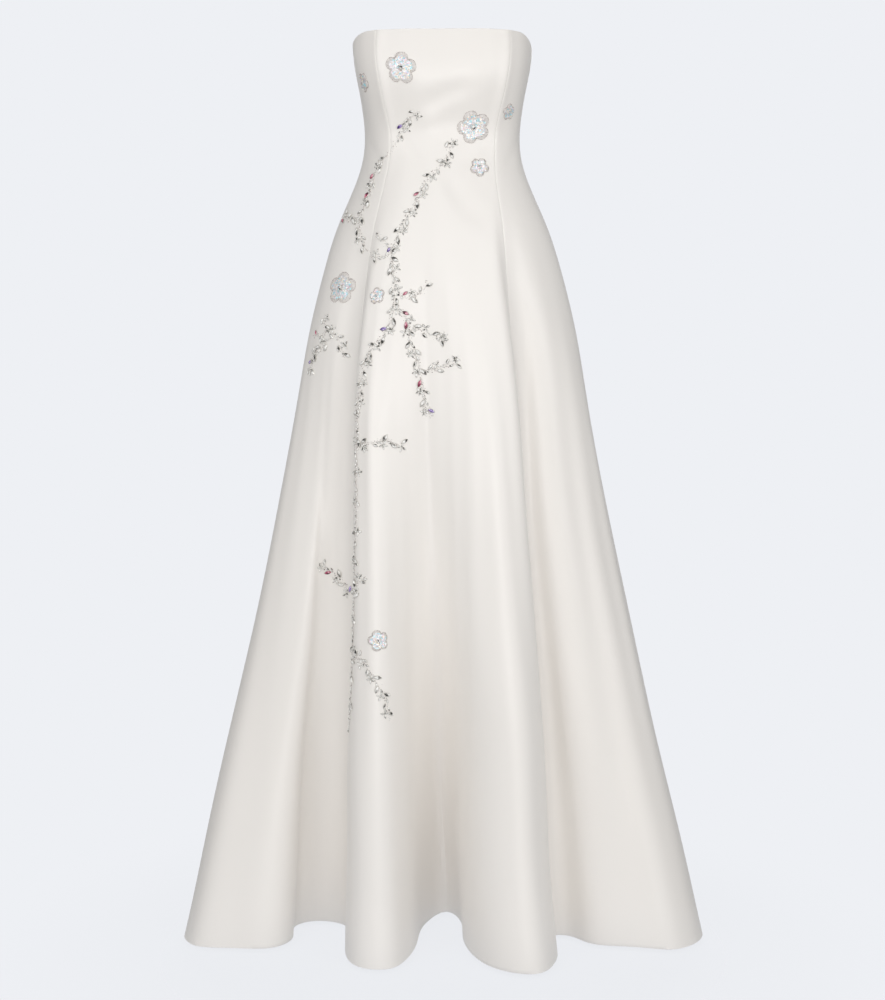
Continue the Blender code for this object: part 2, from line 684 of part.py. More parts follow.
def add_zip(collection, helpers, material):
    """The slider's bridge on the back seam, and the pull tab that hangs from its bar."""
    back, _, _, normal = point_and_axes(0.0, ZIP_HEIGHT)
    face = back.y + SEAM_GAP
    bar = Vector((0, face + BAR_STANDOFF, back.z))
    slider = add_object(
        "zip_slider",
        block((SLIDER_WIDTH, SLIDER_DEPTH, SLIDER_LENGTH),
              (0, face + SLIDER_DEPTH / 2, back.z)),
        collection, material,
    )
    ear_depth = BAR_STANDOFF + BAR_RADIUS
    for name, side in (("ear_right", -1), ("ear_left", 1)):
        x = side * (SLIDER_WIDTH - EAR_WIDTH) / 2
        ear = block((EAR_WIDTH, ear_depth, EAR_HEIGHT), (x, face + ear_depth / 2, back.z))
        with_boolean(slider, add_object(name, ear, helpers, material), "UNION")
    rod = rod_along_x(BAR_RADIUS, SLIDER_WIDTH - EAR_WIDTH, bar, 12)
    with_boolean(slider, add_object("bar", rod, helpers, material), "UNION")

    pull = add_object(
        "zip_pull", rod_along_x(EYE_RADIUS, EYE_WIDTH, Vector(), 20), collection, material
    )
    pull.location = bar
    tab = bmesh.new()
    outline = [(point.half_width, -point.down) for point in TAB_OUTLINE]
    outline += [(-x, z) for x, z in reversed(outline)]
    face_points = [tab.verts.new((x, -TAB_DEPTH / 2, z)) for x, z in outline]
    flat = tab.faces.new(face_points)
    grown = bmesh.ops.extrude_face_region(tab, geom=[flat])["geom"]
    lifted = [v for v in grown if isinstance(v, bmesh.types.BMVert)]
    bmesh.ops.translate(tab, verts=lifted, vec=(0, TAB_DEPTH, 0))
    bmesh.ops.recalc_face_normals(tab, faces=tab.faces)
    for name, helper, operation in (
        ("tab", tab, "UNION"),
        ("eye_bore", rod_along_x(EYE_BORE, EYE_WIDTH * 2, Vector(), 16), "DIFFERENCE"),
    ):
        other = add_object(name, helper, helpers, material)
        other.location = bar
        with_boolean(pull, other, operation)


def main():
    for old in list(bpy.data.objects):
        bpy.data.objects.remove(old)
    gown = bpy.data.collections.new("wedding_gown")
    helpers = bpy.data.collections.new("zip_helpers")
    for collection in (gown, helpers):
        bpy.context.scene.collection.children.link(collection)
    satin = make_material("ivory_satin", (0.86, 0.84, 0.79), 0.42)
    metal = make_material("zip_metal", (0.78, 0.77, 0.74), 0.3, 1.0)
    add_gores(gown, satin)
    add_zip(gown, helpers, metal)


main()
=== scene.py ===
"""The finished look of the strapless wedding gown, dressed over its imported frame.

Every gore of the frame is replaced by a fine cloth shell on the same outer face: heavy ivory
silk satin with turned seams, a hem turned up inside, and the creases that the cut gives. The
stones, beads and sequins are sewn on the front, where the frame has its low reliefs. The zip
slider and its pull tab stand where the frame has them.

Metres, +Z up, -Y to the front, +X to the wearer's left. A place on the cloth is a share of
the way round from the centre back, by the wearer's right, and a level up the gown.
"""

import math
from collections import namedtuple

import bpy
import numpy as np
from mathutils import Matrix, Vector


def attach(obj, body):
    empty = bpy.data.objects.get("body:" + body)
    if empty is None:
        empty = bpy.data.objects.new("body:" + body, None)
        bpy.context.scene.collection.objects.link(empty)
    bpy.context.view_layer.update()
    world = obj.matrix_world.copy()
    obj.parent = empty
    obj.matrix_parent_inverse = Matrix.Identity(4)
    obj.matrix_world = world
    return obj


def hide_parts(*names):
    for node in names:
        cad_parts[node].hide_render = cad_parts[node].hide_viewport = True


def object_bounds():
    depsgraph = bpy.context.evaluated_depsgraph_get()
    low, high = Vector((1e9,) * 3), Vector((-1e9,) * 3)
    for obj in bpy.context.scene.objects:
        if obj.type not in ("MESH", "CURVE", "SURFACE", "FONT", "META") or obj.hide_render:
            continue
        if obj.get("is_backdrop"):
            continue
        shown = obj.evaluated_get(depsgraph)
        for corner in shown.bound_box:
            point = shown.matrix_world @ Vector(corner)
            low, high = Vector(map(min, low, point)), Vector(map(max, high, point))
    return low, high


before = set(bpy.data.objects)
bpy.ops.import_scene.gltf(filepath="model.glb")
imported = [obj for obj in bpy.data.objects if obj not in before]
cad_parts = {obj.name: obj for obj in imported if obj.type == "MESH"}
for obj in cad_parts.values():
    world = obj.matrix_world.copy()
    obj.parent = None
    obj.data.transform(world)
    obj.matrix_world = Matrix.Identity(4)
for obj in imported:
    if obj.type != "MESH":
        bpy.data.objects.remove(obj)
CAD_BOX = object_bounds()
FULL_TURN = 2 * math.pi

# Driving sizes of the cloth, as in the frame
NECK_HEIGHT = 0.1424
NECK_DIP = 0.017
NECK_DIP_START = 0.145
NECK_DIP_SPREAD = 0.105
BODICE_BAND = 0.100
HEM_HEIGHT = -1.2644
FOLD_START = -0.110
FOLD_DEPTH_POWER = 1.90
FOLD_SPREAD_POWER = 1.45

# Body of the gown before its folds: a section at each height, its superellipse exponents,
# and how far round from the centre front each princess seam runs
Section = namedtuple(
    "Section", "height half_width front back front_square back_square right_seam left_seam"
)
SECTIONS = (
    Section(-1.2644, 0.4185, 0.138, 0.388, 2.30, 2.2, 0.127, 0.127),
    Section(-1.040, 0.3665, 0.137, 0.343, 2.30, 2.2, 0.127, 0.125),
    Section(-0.800, 0.3110, 0.136, 0.293, 2.28, 2.2, 0.127, 0.125),
    Section(-0.560, 0.2575, 0.134, 0.240, 2.26, 2.2, 0.130, 0.122),
    Section(-0.400, 0.2280, 0.131, 0.203, 2.24, 2.2, 0.132, 0.120),
    Section(-0.290, 0.2065, 0.128, 0.175, 2.22, 2.2, 0.128, 0.113),
    Section(-0.200, 0.1815, 0.123, 0.150, 2.20, 2.2, 0.123, 0.106),
    Section(-0.140, 0.1610, 0.117, 0.131, 2.20, 2.2, 0.119, 0.104),
    Section(-0.100, 0.1437, 0.110, 0.116, 2.20, 2.2, 0.117, 0.105),
    Section(-0.060, 0.1275, 0.101, 0.101, 2.22, 2.2, 0.116, 0.109),
    Section(-0.030, 0.1200, 0.095, 0.092, 2.25, 2.2, 0.115, 0.114),
    Section(0.000, 0.1182, 0.094, 0.088, 2.32, 2.2, 0.116, 0.117),
    Section(0.030, 0.1208, 0.104, 0.092, 2.50, 2.2, 0.118, 0.119),
    Section(0.070, 0.1275, 0.120, 0.098, 2.80, 2.2, 0.120, 0.122),
    Section(0.115, 0.1350, 0.121, 0.101, 3.00, 2.2, 0.122, 0.124),
    Section(0.1424, 0.1348, 0.118, 0.100, 3.10, 2.2, 0.122, 0.125),
)

# Steps where a fold of the upper skirt laps over the cloth beside it
Step = namedtuple("Step", "name share back drawn_in turn fade")
STEPS = (
    Step("broad_fold_lap", 0.618, 0.026, 0.034, 0.010, 0.075),
    Step("tube_fold_lap", 0.380, 0.020, 0.026, -0.010, 0.075),
)
StepSize = namedtuple("StepSize", "height size")
STEP_SIZES = (
    StepSize(HEM_HEIGHT, 0.00),
    StepSize(-1.100, 0.20),
    StepSize(-0.900, 0.62),
    StepSize(-0.700, 0.90),
    StepSize(-0.500, 1.00),
    StepSize(-0.350, 0.82),
    StepSize(-0.200, 0.30),
    StepSize(-0.090, 0.00),
    StepSize(NECK_HEIGHT, 0.00),
)

# Plan of the hem, from the centre back round by the wearer's right
Fold = namedtuple("Fold", "name x y")
HEM_FOLDS = (
    Fold("centre_back_ridge", 0.000, 0.374),
    Fold("back_right_valley", -0.088, 0.292),
    Fold("back_right_ridge", -0.190, 0.330),
    Fold("back_right_seam", -0.240, 0.228),
    Fold("side_back_right_ridge", -0.345, 0.222),
    Fold("side_back_right_valley", -0.352, 0.110),
    Fold("side_right_ridge", -0.4175, 0.022),
    Fold("side_right_turn", -0.3950, -0.024),
    Fold("right_panel_front", -0.3300, -0.036),
    Fold("right_panel_turn", -0.2680, -0.034),
    Fold("right_panel_edge", -0.2420, 0.004),
    Fold("right_recess_start", -0.2400, 0.064),
    Fold("right_recess", -0.2000, 0.0905),
    Fold("right_recess_end", -0.1640, 0.076),
    Fold("front_right_seam", -0.1510, 0.020),
    Fold("tube_fold_edge", -0.1480, -0.078),
    Fold("tube_fold_shoulder", -0.1260, -0.117),
    Fold("tube_fold_ridge", -0.0840, -0.125),
    Fold("tube_fold_turn", -0.0570, -0.088),
    Fold("tube_fold_slope", -0.0380, 0.005),
    Fold("centre_recess_start", -0.0180, 0.098),
    Fold("centre_recess", 0.0060, 0.1300),
    Fold("centre_recess_end", 0.0270, 0.090),
    Fold("broad_fold_side", 0.0330, 0.000),
    Fold("broad_fold_start", 0.0560, -0.086),
    Fold("broad_fold_shoulder", 0.1000, -0.136),
    Fold("broad_fold_ridge", 0.1420, -0.144),
    Fold("broad_fold_turn", 0.1730, -0.098),
    Fold("broad_fold_edge", 0.1760, -0.036),
    Fold("front_left_seam", 0.1700, 0.016),
    Fold("left_panel_start", 0.1950, 0.022),
    Fold("left_panel_rise", 0.2300, -0.010),
    Fold("left_panel_front", 0.3000, -0.031),
    Fold("left_panel_ridge", 0.3640, -0.042),
    Fold("side_left_turn", 0.4060, -0.010),
    Fold("side_left_ridge", 0.4200, 0.034),
    Fold("side_back_left_valley", 0.3520, 0.124),
    Fold("side_back_left_ridge", 0.3340, 0.232),
    Fold("back_left_seam", 0.2300, 0.240),
    Fold("back_left_ridge", 0.1720, 0.338),
    Fold("back_left_valley", 0.0780, 0.288),
)

# Gores in order round the gown, with the columns of each fine shell
Gore = namedtuple("Gore", "name start hem_fold columns")
GORES = (
    Gore("back_right", 0.000, "centre_back_ridge", 56),
    Gore("side_back_right", 0.115, "back_right_seam", 56),
    Gore("side_front_right", 0.250, "side_right_ridge", 84),
    Gore("front_centre", 0.373, "front_right_seam", 116),
    Gore("side_front_left", 0.627, "front_left_seam", 84),
    Gore("side_back_left", 0.750, "side_left_ridge", 56),
    Gore("back_left", 0.885, "back_left_seam", 56),
)
GORE_ENDS = [gore.start for gore in GORES[1:]] + [1.0]

# Cloth as it is sewn
CLOTH_THICKNESS = 0.0011
HEM_DEPTH = 0.038
HEM_THICKNESS = 0.0019
FACING_DEPTH = 0.030
FACING_THICKNESS = 0.0017
TURNING_SLOPE = 0.0012
SEAM_ROLL = 0.0005
SEAM_ROLL_REACH = 0.0008
ZIP_ROLL = 0.0010
ZIP_END = -0.205
ZIP_FADE = 0.010
PUCKER_DEPTH = 0.00007
PUCKER_REACH = 0.007
PUCKER_LENGTH = 0.016
PUCKER_OCTAVES = (1.0, 1.7, 2.6)
PUCKERS_PER_SWELL = 5
PUCKER_SEED = 100
SEAM_COLUMNS = (0.0, 0.0004, 0.0009, 0.0018, 0.0034)
EDGE_GAP = 0.00002
EDGE_STEPS = 4
HEM_ROUNDING = 0.5
CLOTH_SMOOTH_DEGREES = 40
UPPER_ROW = 0.0035
LOWER_ROW = 0.0062
UPPER_END = -0.16

# Soft creases of the worn gown, as lines between two places on the cloth: how wide each is,
# and how far it stands out, or lies back where that is negative. A crease is full over half
# its length and fades towards its ends.
Crease = namedtuple("Crease", "name share level end_share end_level width depth")
CREASES = (
    Crease("drape_hollow", 0.560, 0.062, 0.455, 0.034, 0.015, -0.0022),
    Crease("drape_ridge", 0.548, 0.044, 0.440, 0.012, 0.013, 0.0014),
    Crease("right_bust_edge", 0.379, 0.170, 0.373, 0.010, 0.010, 0.0024),
    Crease("left_bust_edge", 0.621, 0.170, 0.627, 0.010, 0.010, 0.0024),
    Crease("trunk_ridge", 0.414, -0.340, 0.413, -0.960, 0.006, 0.0022),
    Crease("trunk_hollow", 0.404, -0.340, 0.409, -0.960, 0.008, -0.0018),
    Crease("lap_hollow", 0.643, -0.300, 0.642, -1.020, 0.012, -0.0060),
    Crease("left_panel_sheen", 0.668, -0.250, 0.676, -0.980, 0.026, 0.0060),
    Crease("waist_drag_left", 0.615, -0.012, 0.560, -0.050, 0.009, -0.0012),
    Crease("waist_drag_right", 0.395, -0.008, 0.440, -0.042, 0.009, -0.0011),
    Crease("hip_drag", 0.520, -0.070, 0.590, -0.135, 0.014, -0.0016),
    Crease("hip_ridge", 0.500, -0.075, 0.560, -0.160, 0.013, 0.0012),
    Crease("side_drag_right", 0.300, -0.010, 0.350, -0.046, 0.008, -0.0010),
    Crease("side_drag_left", 0.700, -0.006, 0.655, -0.050, 0.008, -0.0010),
    Crease("back_drag_right", 0.070, -0.004, 0.160, -0.030, 0.008, -0.0010),
    Crease("back_drag_left", 0.930, -0.004, 0.840, -0.032, 0.008, -0.0010),
)
CREASE_FULL_PART = 0.5
CREASE_FADE = 0.28
# Long slow waves of cloth that has hung and been handled: waves in the way round, lean up
# the gown in radians a metre, and strength
WAVE_COUNT = 14
WAVE_DEPTH = 0.00045
WAVE_SEED = 11
WAVES_ROUND = (3, 17)
WAVE_LEAN = (4, 22)
WAVE_STRENGTH = (0.3, 1)
# Narrow waves that run down the skirt, as a crisp satin stands between its folds
SKIRT_WAVE_COUNT = 9
SKIRT_WAVE_DEPTH = 0.00042
SKIRT_WAVE_FADE = 0.50
SKIRT_WAVES_ROUND = (20, 46)
SKIRT_WAVE_LEAN = (-3, 3)
SKIRT_SWELLS_ROUND = (2, 7)
SKIRT_SWELL_LEAN = (2, 6)

RING_SAMPLES = 1440
HEM_SAMPLES = 4000
GORE_SAMPLES = 480
GRID_SHARES = 2880
GRID_LEVELS = 820
TOP_ROW_MARGIN = 1e-9


class Spline:
    """A smooth line through values at increasing places, with no jump in its curvature."""

    def __init__(self, places, values, period=None):
        self.x = np.asarray(places, float)
        self.y = np.asarray(values, float)
        if period is not None:
            self.x = np.append(self.x, self.x[0] + period)
            self.y = np.append(self.y, self.y[0])
        self.period = period
        gaps = np.diff(self.x)
        slopes = np.diff(self.y) / gaps
        count = len(self.x)
        system = np.zeros((count, count))
        right = np.zeros(count)
        for i in range(1, count - 1):
            system[i, i - 1 : i + 2] = gaps[i - 1], 2 * (gaps[i - 1] + gaps[i]), gaps[i]
            right[i] = 6 * (slopes[i] - slopes[i - 1])
        if period is None:
            system[0, 0] = system[-1, -1] = 1
        else:
            system[0, 0], system[0, -1] = 1, -1
            system[-1, 0], system[-1, 1] = 2 * gaps[0], gaps[0]
            system[-1, -1], system[-1, -2] = 2 * gaps[-1], gaps[-1]
            right[-1] = 6 * (slopes[0] - slopes[-1])
        self.bend = np.linalg.solve(system, right)

    def __call__(self, at):
        at = np.asarray(at, float)
        if self.period is not None:
            at = self.x[0] + np.mod(at - self.x[0], self.period)
        i = np.clip(np.searchsorted(self.x, at, side="right") - 1, 0, len(self.x) - 2)
        gap = self.x[i + 1] - self.x[i]
        t = (at - self.x[i]) / gap
        curve = (t**3 - t) * self.bend[i + 1] + ((1 - t) ** 3 - (1 - t)) * self.bend[i]
        return (1 - t) * self.y[i] + t * self.y[i + 1] + gap**2 / 6 * curve


def smooth_step(value):
    value = np.clip(value, 0, 1)
    return value * value * (3 - 2 * value)


def distances(points):
    """How far along a line of points each one lies from the first."""
    steps = np.linalg.norm(np.diff(points, axis=0), axis=-1)
    return np.concatenate(([0], np.cumsum(steps)))


def closed_ring(count):
    """Angles at even steps round a ring, without the last, which is the first again."""
    return np.linspace(0, FULL_TURN, count, endpoint=False)


SECTION_SIZES = {
    field: Spline([s.height for s in SECTIONS], [getattr(s, field) for s in SECTIONS])
    for field in Section._fields[1:]
}
STEP_SIZE = Spline([row.height for row in STEP_SIZES], [row.size for row in STEP_SIZES])


def section_ring(height):
    """The section before the folds: shares of the way round, and x and y at each."""
    size = {field: float(line(height)) for field, line in SECTION_SIZES.items()}
    angle = np.linspace(0, FULL_TURN, RING_SAMPLES + 1)
    sine, cosine = np.sin(angle), np.cos(angle)
    at_back = cosine > 0
    power = 2 / np.where(at_back, size["back_square"], size["front_square"])
    depth = np.where(at_back, size["back"], size["front"])
    x = -size["half_width"] * np.sign(sine) * np.abs(sine) ** power
    y = depth * np.sign(cosine) * np.abs(cosine) ** power
    way = distances(np.stack([x, y], axis=-1))
    return way / way[-1], x, y


def seam_bend(name):
    """How the shares near a front princess seam shift when that seam moves."""
    starts = [gore.start for gore in GORES]
    return Spline(starts, [float(gore.name == name) for gore in GORES], 1.0)


RIGHT_BEND = seam_bend("front_centre")
LEFT_BEND = seam_bend("side_front_left")


def on_section(shares, height):
    """Points of the section before the folds, with the seams where they run there."""
    way, x, y = section_ring(height)
    hem = SECTIONS[0]
    right = hem.right_seam - float(SECTION_SIZES["right_seam"](height))
    left = float(SECTION_SIZES["left_seam"](height)) - hem.left_seam
    placed = shares + right * RIGHT_BEND(shares) + left * LEFT_BEND(shares)
    return np.interp(placed, way, x), np.interp(placed, way, y)


def on_hem(shares):
    """Points of the folded hem."""
    points = np.array([(fold.x, fold.y) for fold in HEM_FOLDS])
    places = distances(np.concatenate([points, points[:1]]))
    lines = [Spline(places[:-1], points[:, axis], places[-1]) for axis in (0, 1)]
    fine = np.linspace(0, places[-1], HEM_SAMPLES + 1)
    x, y = lines[0](fine), lines[1](fine)
    way = distances(np.stack([x, y], axis=-1))
    names = [fold.name for fold in HEM_FOLDS]
    at_seam = np.interp([places[names.index(gore.hem_fold)] for gore in GORES], fine, way)
    starts = np.array([gore.start for gore in GORES])
    spare = Spline(starts, at_seam - way[-1] * starts, 1.0)
    at = np.mod(way[-1] * shares + spare(shares), way[-1])
    return np.interp(at, way, x), np.interp(at, way, y)


def crease_relief(shares, levels, girth):
    """How far the creases and slow waves move the cloth out, on a grid of places."""
    out = np.zeros((len(levels), len(shares)))
    up = levels[:, None]
    for crease in CREASES:
        at = np.interp(crease.level, levels, girth)
        x, y = (shares[None, :] - crease.share) * at, up - crease.level
        end_x, end_y = (crease.end_share - crease.share) * at, crease.end_level - crease.level
        length = np.hypot(end_x, end_y)
        from_middle = np.abs((x * end_x + y * end_y) / length**2 - 0.5)
        across = (x * end_y - y * end_x) / length
        past = np.maximum(from_middle - CREASE_FULL_PART / 2, 0)
        ends = np.exp(-((past / CREASE_FADE) ** 2))
        out += crease.depth * ends * np.exp(-((across / crease.width) ** 2))
    dice = np.random.default_rng(WAVE_SEED)
    for _ in range(WAVE_COUNT):
        waves = dice.integers(*WAVES_ROUND)
        lean = dice.uniform(*WAVE_LEAN)
        phase = dice.uniform(0, FULL_TURN)
        wave = np.sin(FULL_TURN * waves * shares[None, :] + lean * up + phase)
        out += WAVE_DEPTH * dice.uniform(*WAVE_STRENGTH) * wave
    fall = smooth_step((FOLD_START - up) / SKIRT_WAVE_FADE)
    for _ in range(SKIRT_WAVE_COUNT):
        waves = dice.integers(*SKIRT_WAVES_ROUND)
        swells = dice.integers(*SKIRT_SWELLS_ROUND)
        lean = dice.uniform(*SKIRT_WAVE_LEAN)
        swell_lean = dice.uniform(*SKIRT_SWELL_LEAN)
        phase = dice.uniform(0, FULL_TURN)
        wave = np.sin(FULL_TURN * waves * shares[None, :] + lean * up + phase)
        swell = 1 + np.sin(FULL_TURN * swells * shares[None, :] + swell_lean * up + phase)
        out += SKIRT_WAVE_DEPTH / 2 * fall * wave * swell
    return out


class Cloth:
    """The gown's outer face on one fine grid, read at any share and level."""

    def __init__(self):
        self.levels = np.linspace(HEM_HEIGHT, NECK_HEIGHT, GRID_LEVELS)
        self.shares = np.arange(GRID_SHARES) / GRID_SHARES
        plain = self.folded()
        past = (np.abs(self.shares - 0.5) - NECK_DIP_START) / NECK_DIP_SPREAD
        dip = NECK_DIP * smooth_step(past)
        rise = np.clip((self.levels - BODICE_BAND) / (NECK_HEIGHT - BODICE_BAND), 0, None)
        heights = self.levels[:, None] - rise[:, None] * dip[None, :]
        columns = np.broadcast_to(self.shares, heights.shape)
        points = self.read(plain, columns, heights)
        points[..., 2] = heights
        around, _, normal = self.slopes(points)
        girth = np.linalg.norm(around, axis=-1).mean(axis=1)
        relief = crease_relief(self.shares, self.levels, girth)
        self.points = points + normal * relief[..., None]
        self.around, self.upward, self.normal = self.slopes(self.points)

    def folded(self):
        """The face before the neckline's dip and the creases."""
        rows = []
        hem_x, hem_y = on_hem(self.shares)
        plain_x, plain_y = on_section(self.shares, HEM_HEIGHT)
        for height in self.levels:
            x, y = on_section(self.shares, height)
            fall = max(0.0, (FOLD_START - height) / (FOLD_START - HEM_HEIGHT))
            x = x + fall**FOLD_SPREAD_POWER * (hem_x - plain_x)
            y = y + fall**FOLD_DEPTH_POWER * (hem_y - plain_y)
            for step in STEPS:
                past = (self.shares - step.share) / step.turn
                fade = np.exp(-((np.maximum(past, 0) * step.turn / step.fade) ** 2))
                size = float(STEP_SIZE(height)) * fade * (1 + np.tanh(past)) / 2
                x = x - math.copysign(step.drawn_in, step.turn) * size
                y = y + step.back * size
            rows.append(np.stack([x, y, np.full_like(x, height)], axis=-1))
        return np.array(rows)

    def slopes(self, points):
        """The way round per share, the way up per level and the outward normal."""
        around = (np.roll(points, -1, axis=1) - np.roll(points, 1, axis=1)) * GRID_SHARES / 2
        upward = np.gradient(points, self.levels, axis=0)
        normal = np.cross(around, upward)
        return around, upward, normal / np.linalg.norm(normal, axis=-1, keepdims=True)

    def read(self, grid, shares, levels):
        """Values of a grid at places, blended from the four nearest."""
        column = np.mod(shares, 1.0) * GRID_SHARES
        row = (levels - HEM_HEIGHT) / (NECK_HEIGHT - HEM_HEIGHT) * (GRID_LEVELS - 1)
        row = np.clip(row, 0, GRID_LEVELS - 1 - TOP_ROW_MARGIN)
        left, low = np.floor(column).astype(int), np.floor(row).astype(int)
        across, up = (column - left)[..., None], (row - low)[..., None]
        left, next_ = left % GRID_SHARES, (left + 1) % GRID_SHARES
        bottom = grid[low, left] * (1 - across) + grid[low, next_] * across
        top = grid[low + 1, left] * (1 - across) + grid[low + 1, next_] * across
        return bottom * (1 - up) + top * up

    def at(self, shares, levels):
        """Points and outward normals at places."""
        shares, levels = np.broadcast_arrays(np.asarray(shares, float), levels)
        normal = self.read(self.normal, shares, levels)
        normal /= np.linalg.norm(normal, axis=-1, keepdims=True)
        return self.read(self.points, shares, levels), normal

    def axes(self, share, level):
        """A point, the way round per share, the way up per level and the normal there."""
        place = np.array([float(share)]), np.array([float(level)])
        grids = (self.points, self.around, self.upward, self.normal)
        point, around, upward, normal = (self.read(grid, *place)[0] for grid in grids)
        return point, around, upward, normal / np.linalg.norm(normal)


CLOTH = Cloth()


# Meshes

def make_object(name, vertices, faces, materials, smooth_angle=None):
    """A mesh object from arrays of points and faces."""
    data = bpy.data.meshes.new(name)
    data.from_pydata(np.asarray(vertices).tolist(), [], faces)
    for material in materials:
        data.materials.append(material)
    if smooth_angle is not None:
        data.shade_smooth()
        data.set_sharp_from_angle(angle=smooth_angle)
    made = bpy.data.objects.new(name, data)
    bpy.context.scene.collection.objects.link(made)
    return made


def wall_thickness(levels):
    """The cloth's thickness, with the hem's turning and the neckline's facing inside."""
    turning = smooth_step((HEM_HEIGHT + HEM_DEPTH - levels) / TURNING_SLOPE)
    facing = smooth_step((levels - NECK_HEIGHT + FACING_DEPTH) / TURNING_SLOPE)
    extra = turning * (HEM_THICKNESS - CLOTH_THICKNESS)
    return CLOTH_THICKNESS + extra + facing * (FACING_THICKNESS - CLOTH_THICKNESS)


def row_levels():
    """Levels of the shell's rows, close together up to the hip and at the two turnings."""
    upper = np.arange(UPPER_END, NECK_HEIGHT, UPPER_ROW)
    lower = np.arange(HEM_HEIGHT, UPPER_END, LOWER_ROW)
    hem_top = HEM_HEIGHT + HEM_DEPTH
    facing_low = NECK_HEIGHT - FACING_DEPTH
    turnings = [hem_top - TURNING_SLOPE, hem_top, facing_low, facing_low + TURNING_SLOPE]
    rows = np.unique(np.concatenate([lower, upper, turnings, [NECK_HEIGHT]]).round(5))
    return rows[np.append(np.diff(rows) > TURNING_SLOPE / 2, True)]


def pucker(seam, levels):
    """How far the cloth beside a seam draws in and out along it."""
    dice = np.random.default_rng(PUCKER_SEED + seam)
    out = np.zeros_like(levels)
    for octave in PUCKER_OCTAVES:
        phase, swell = dice.uniform(0, FULL_TURN, 2)
        turns = FULL_TURN * levels * octave / PUCKER_LENGTH
        swelling = 1 + np.sin(turns / PUCKERS_PER_SWELL + swell)
        out += np.sin(turns + phase) * swelling / octave
    return PUCKER_DEPTH * out


def seam_relief(seam, levels, distance):
    """How far the face lies back beside a seam: the turned edge, and its puckers."""
    roll = np.full_like(levels, SEAM_ROLL)
    if seam == 0:
        roll += (ZIP_ROLL - SEAM_ROLL) * smooth_step((levels - ZIP_END) / ZIP_FADE)
    turned = roll[:, None] * np.exp(-distance / SEAM_ROLL_REACH)
    drawn = pucker(seam, levels)[:, None] * np.exp(-distance / PUCKER_REACH)
    return turned + drawn * (1 - np.exp(-distance / SEAM_ROLL_REACH))


def gore_lattice(index):
    """A gore's places and points: rows of levels by columns spaced evenly on the cloth."""
    gore, end = GORES[index], GORE_ENDS[index]
    levels = row_levels()
    fine = np.linspace(gore.start, end, GORE_SAMPLES)
    points, _ = CLOTH.at(fine[None, :], levels[:, None])
    steps = np.linalg.norm(np.diff(points, axis=1), axis=-1)
    way = np.concatenate([np.zeros((len(levels), 1)), np.cumsum(steps, axis=1)], axis=1)
    near = np.array(SEAM_COLUMNS)
    shares, places = [], []
    for row in way:
        middle = np.linspace(near[-1], row[-1] - near[-1], gore.columns - 2 * len(near) + 2)
        place = np.concatenate([near[:-1], middle, row[-1] - near[-2::-1]])
        shares.append(np.interp(place, row, fine))
        places.append(place)
    return levels, np.array(shares), np.array(places)


def gore_shell(index, material):
    """One gore as a closed wall with turned seams, a rolled neckline and a turned hem."""
    gore = GORES[index]
    levels, shares, places = gore_lattice(index)
    outer, normal = CLOTH.at(shares, levels[:, None])
    width = places[:, -1:]
    relief = seam_relief(index, levels, places)
    relief += seam_relief((index + 1) % len(GORES), levels, width - places)
    outer = outer - normal * relief[..., None]
    for side, beside in ((0, 1), (-1, -2)):
        inward = outer[:, beside] - outer[:, side]
        outer[:, side] += inward / np.linalg.norm(inward, axis=-1, keepdims=True) * EDGE_GAP
    inner = outer - normal * wall_thickness(levels)[:, None, None]

    def edge(row, direction):
        """The rounded edge from the outer face over to the inner one."""
        middle = (outer[row] + inner[row]) / 2
        half = (outer[row] - inner[row]) / 2
        radius = np.linalg.norm(half, axis=-1, keepdims=True)
        turn = np.arange(1, EDGE_STEPS) * math.pi / EDGE_STEPS
        return np.array([
            middle + half * math.cos(a) + direction * radius * math.sin(a) for a in turn
        ])

    up = np.array([0, 0, 1.0])
    neck, hem = edge(-1, up), edge(0, -up * HEM_ROUNDING)[::-1]
    loop = np.concatenate([outer, neck, inner[::-1], hem])
    rows, columns = loop.shape[:2]
    number = np.arange(rows * columns).reshape(rows, columns)
    above = np.roll(number, -1, axis=0)
    quads = np.stack([number[:, :-1], number[:, 1:], above[:, 1:], above[:, :-1]], axis=-1)
    faces = quads.reshape(-1, 4).tolist()
    count, rim = len(levels), EDGE_STEPS - 1
    opposite = number[count + rim : 2 * count + rim][::-1]
    for side, step in ((0, 1), (-1, -1)):
        a, b = number[:count, side], opposite[:, side]
        caps = np.stack([a[:-1], a[1:], b[1:], b[:-1]], axis=-1)[:, ::step]
        faces += caps.tolist()
        over_neck = number[count - 1 : count + EDGE_STEPS, side][::step]
        under_hem = np.append(number[2 * count + rim - 1 :, side], number[0, side])
        faces += [over_neck.tolist(), under_hem[::step].tolist()]
    smooth = math.radians(CLOTH_SMOOTH_DEGREES)
    made = make_object(f"{gore.name}_cloth", loop.reshape(-1, 3), faces, [material], smooth)
    across = places - width / 2
    way_up = np.broadcast_to(levels[:, None], across.shape)
    cloth_map = np.stack([across, way_up], axis=-1)
    flat = np.concatenate([
        cloth_map, np.repeat(cloth_map[-1:], rim, 0), cloth_map[::-1],
        np.repeat(cloth_map[:1], rim, 0),
    ]).reshape(-1, 2)
    layer = made.data.uv_layers.new(name="cloth")
    corners = np.empty(len(made.data.loops), int)
    made.data.loops.foreach_get("vertex_index", corners)
    layer.uv.foreach_set("vector", flat[corners].astype(np.float32).ravel())
    return made, outer


def quad_areas(points):
    turned = np.cross(points[1:, 1:] - points[:-1, :-1], points[1:, :-1] - points[:-1, 1:])
    return np.linalg.norm(turned, axis=-1) / 2


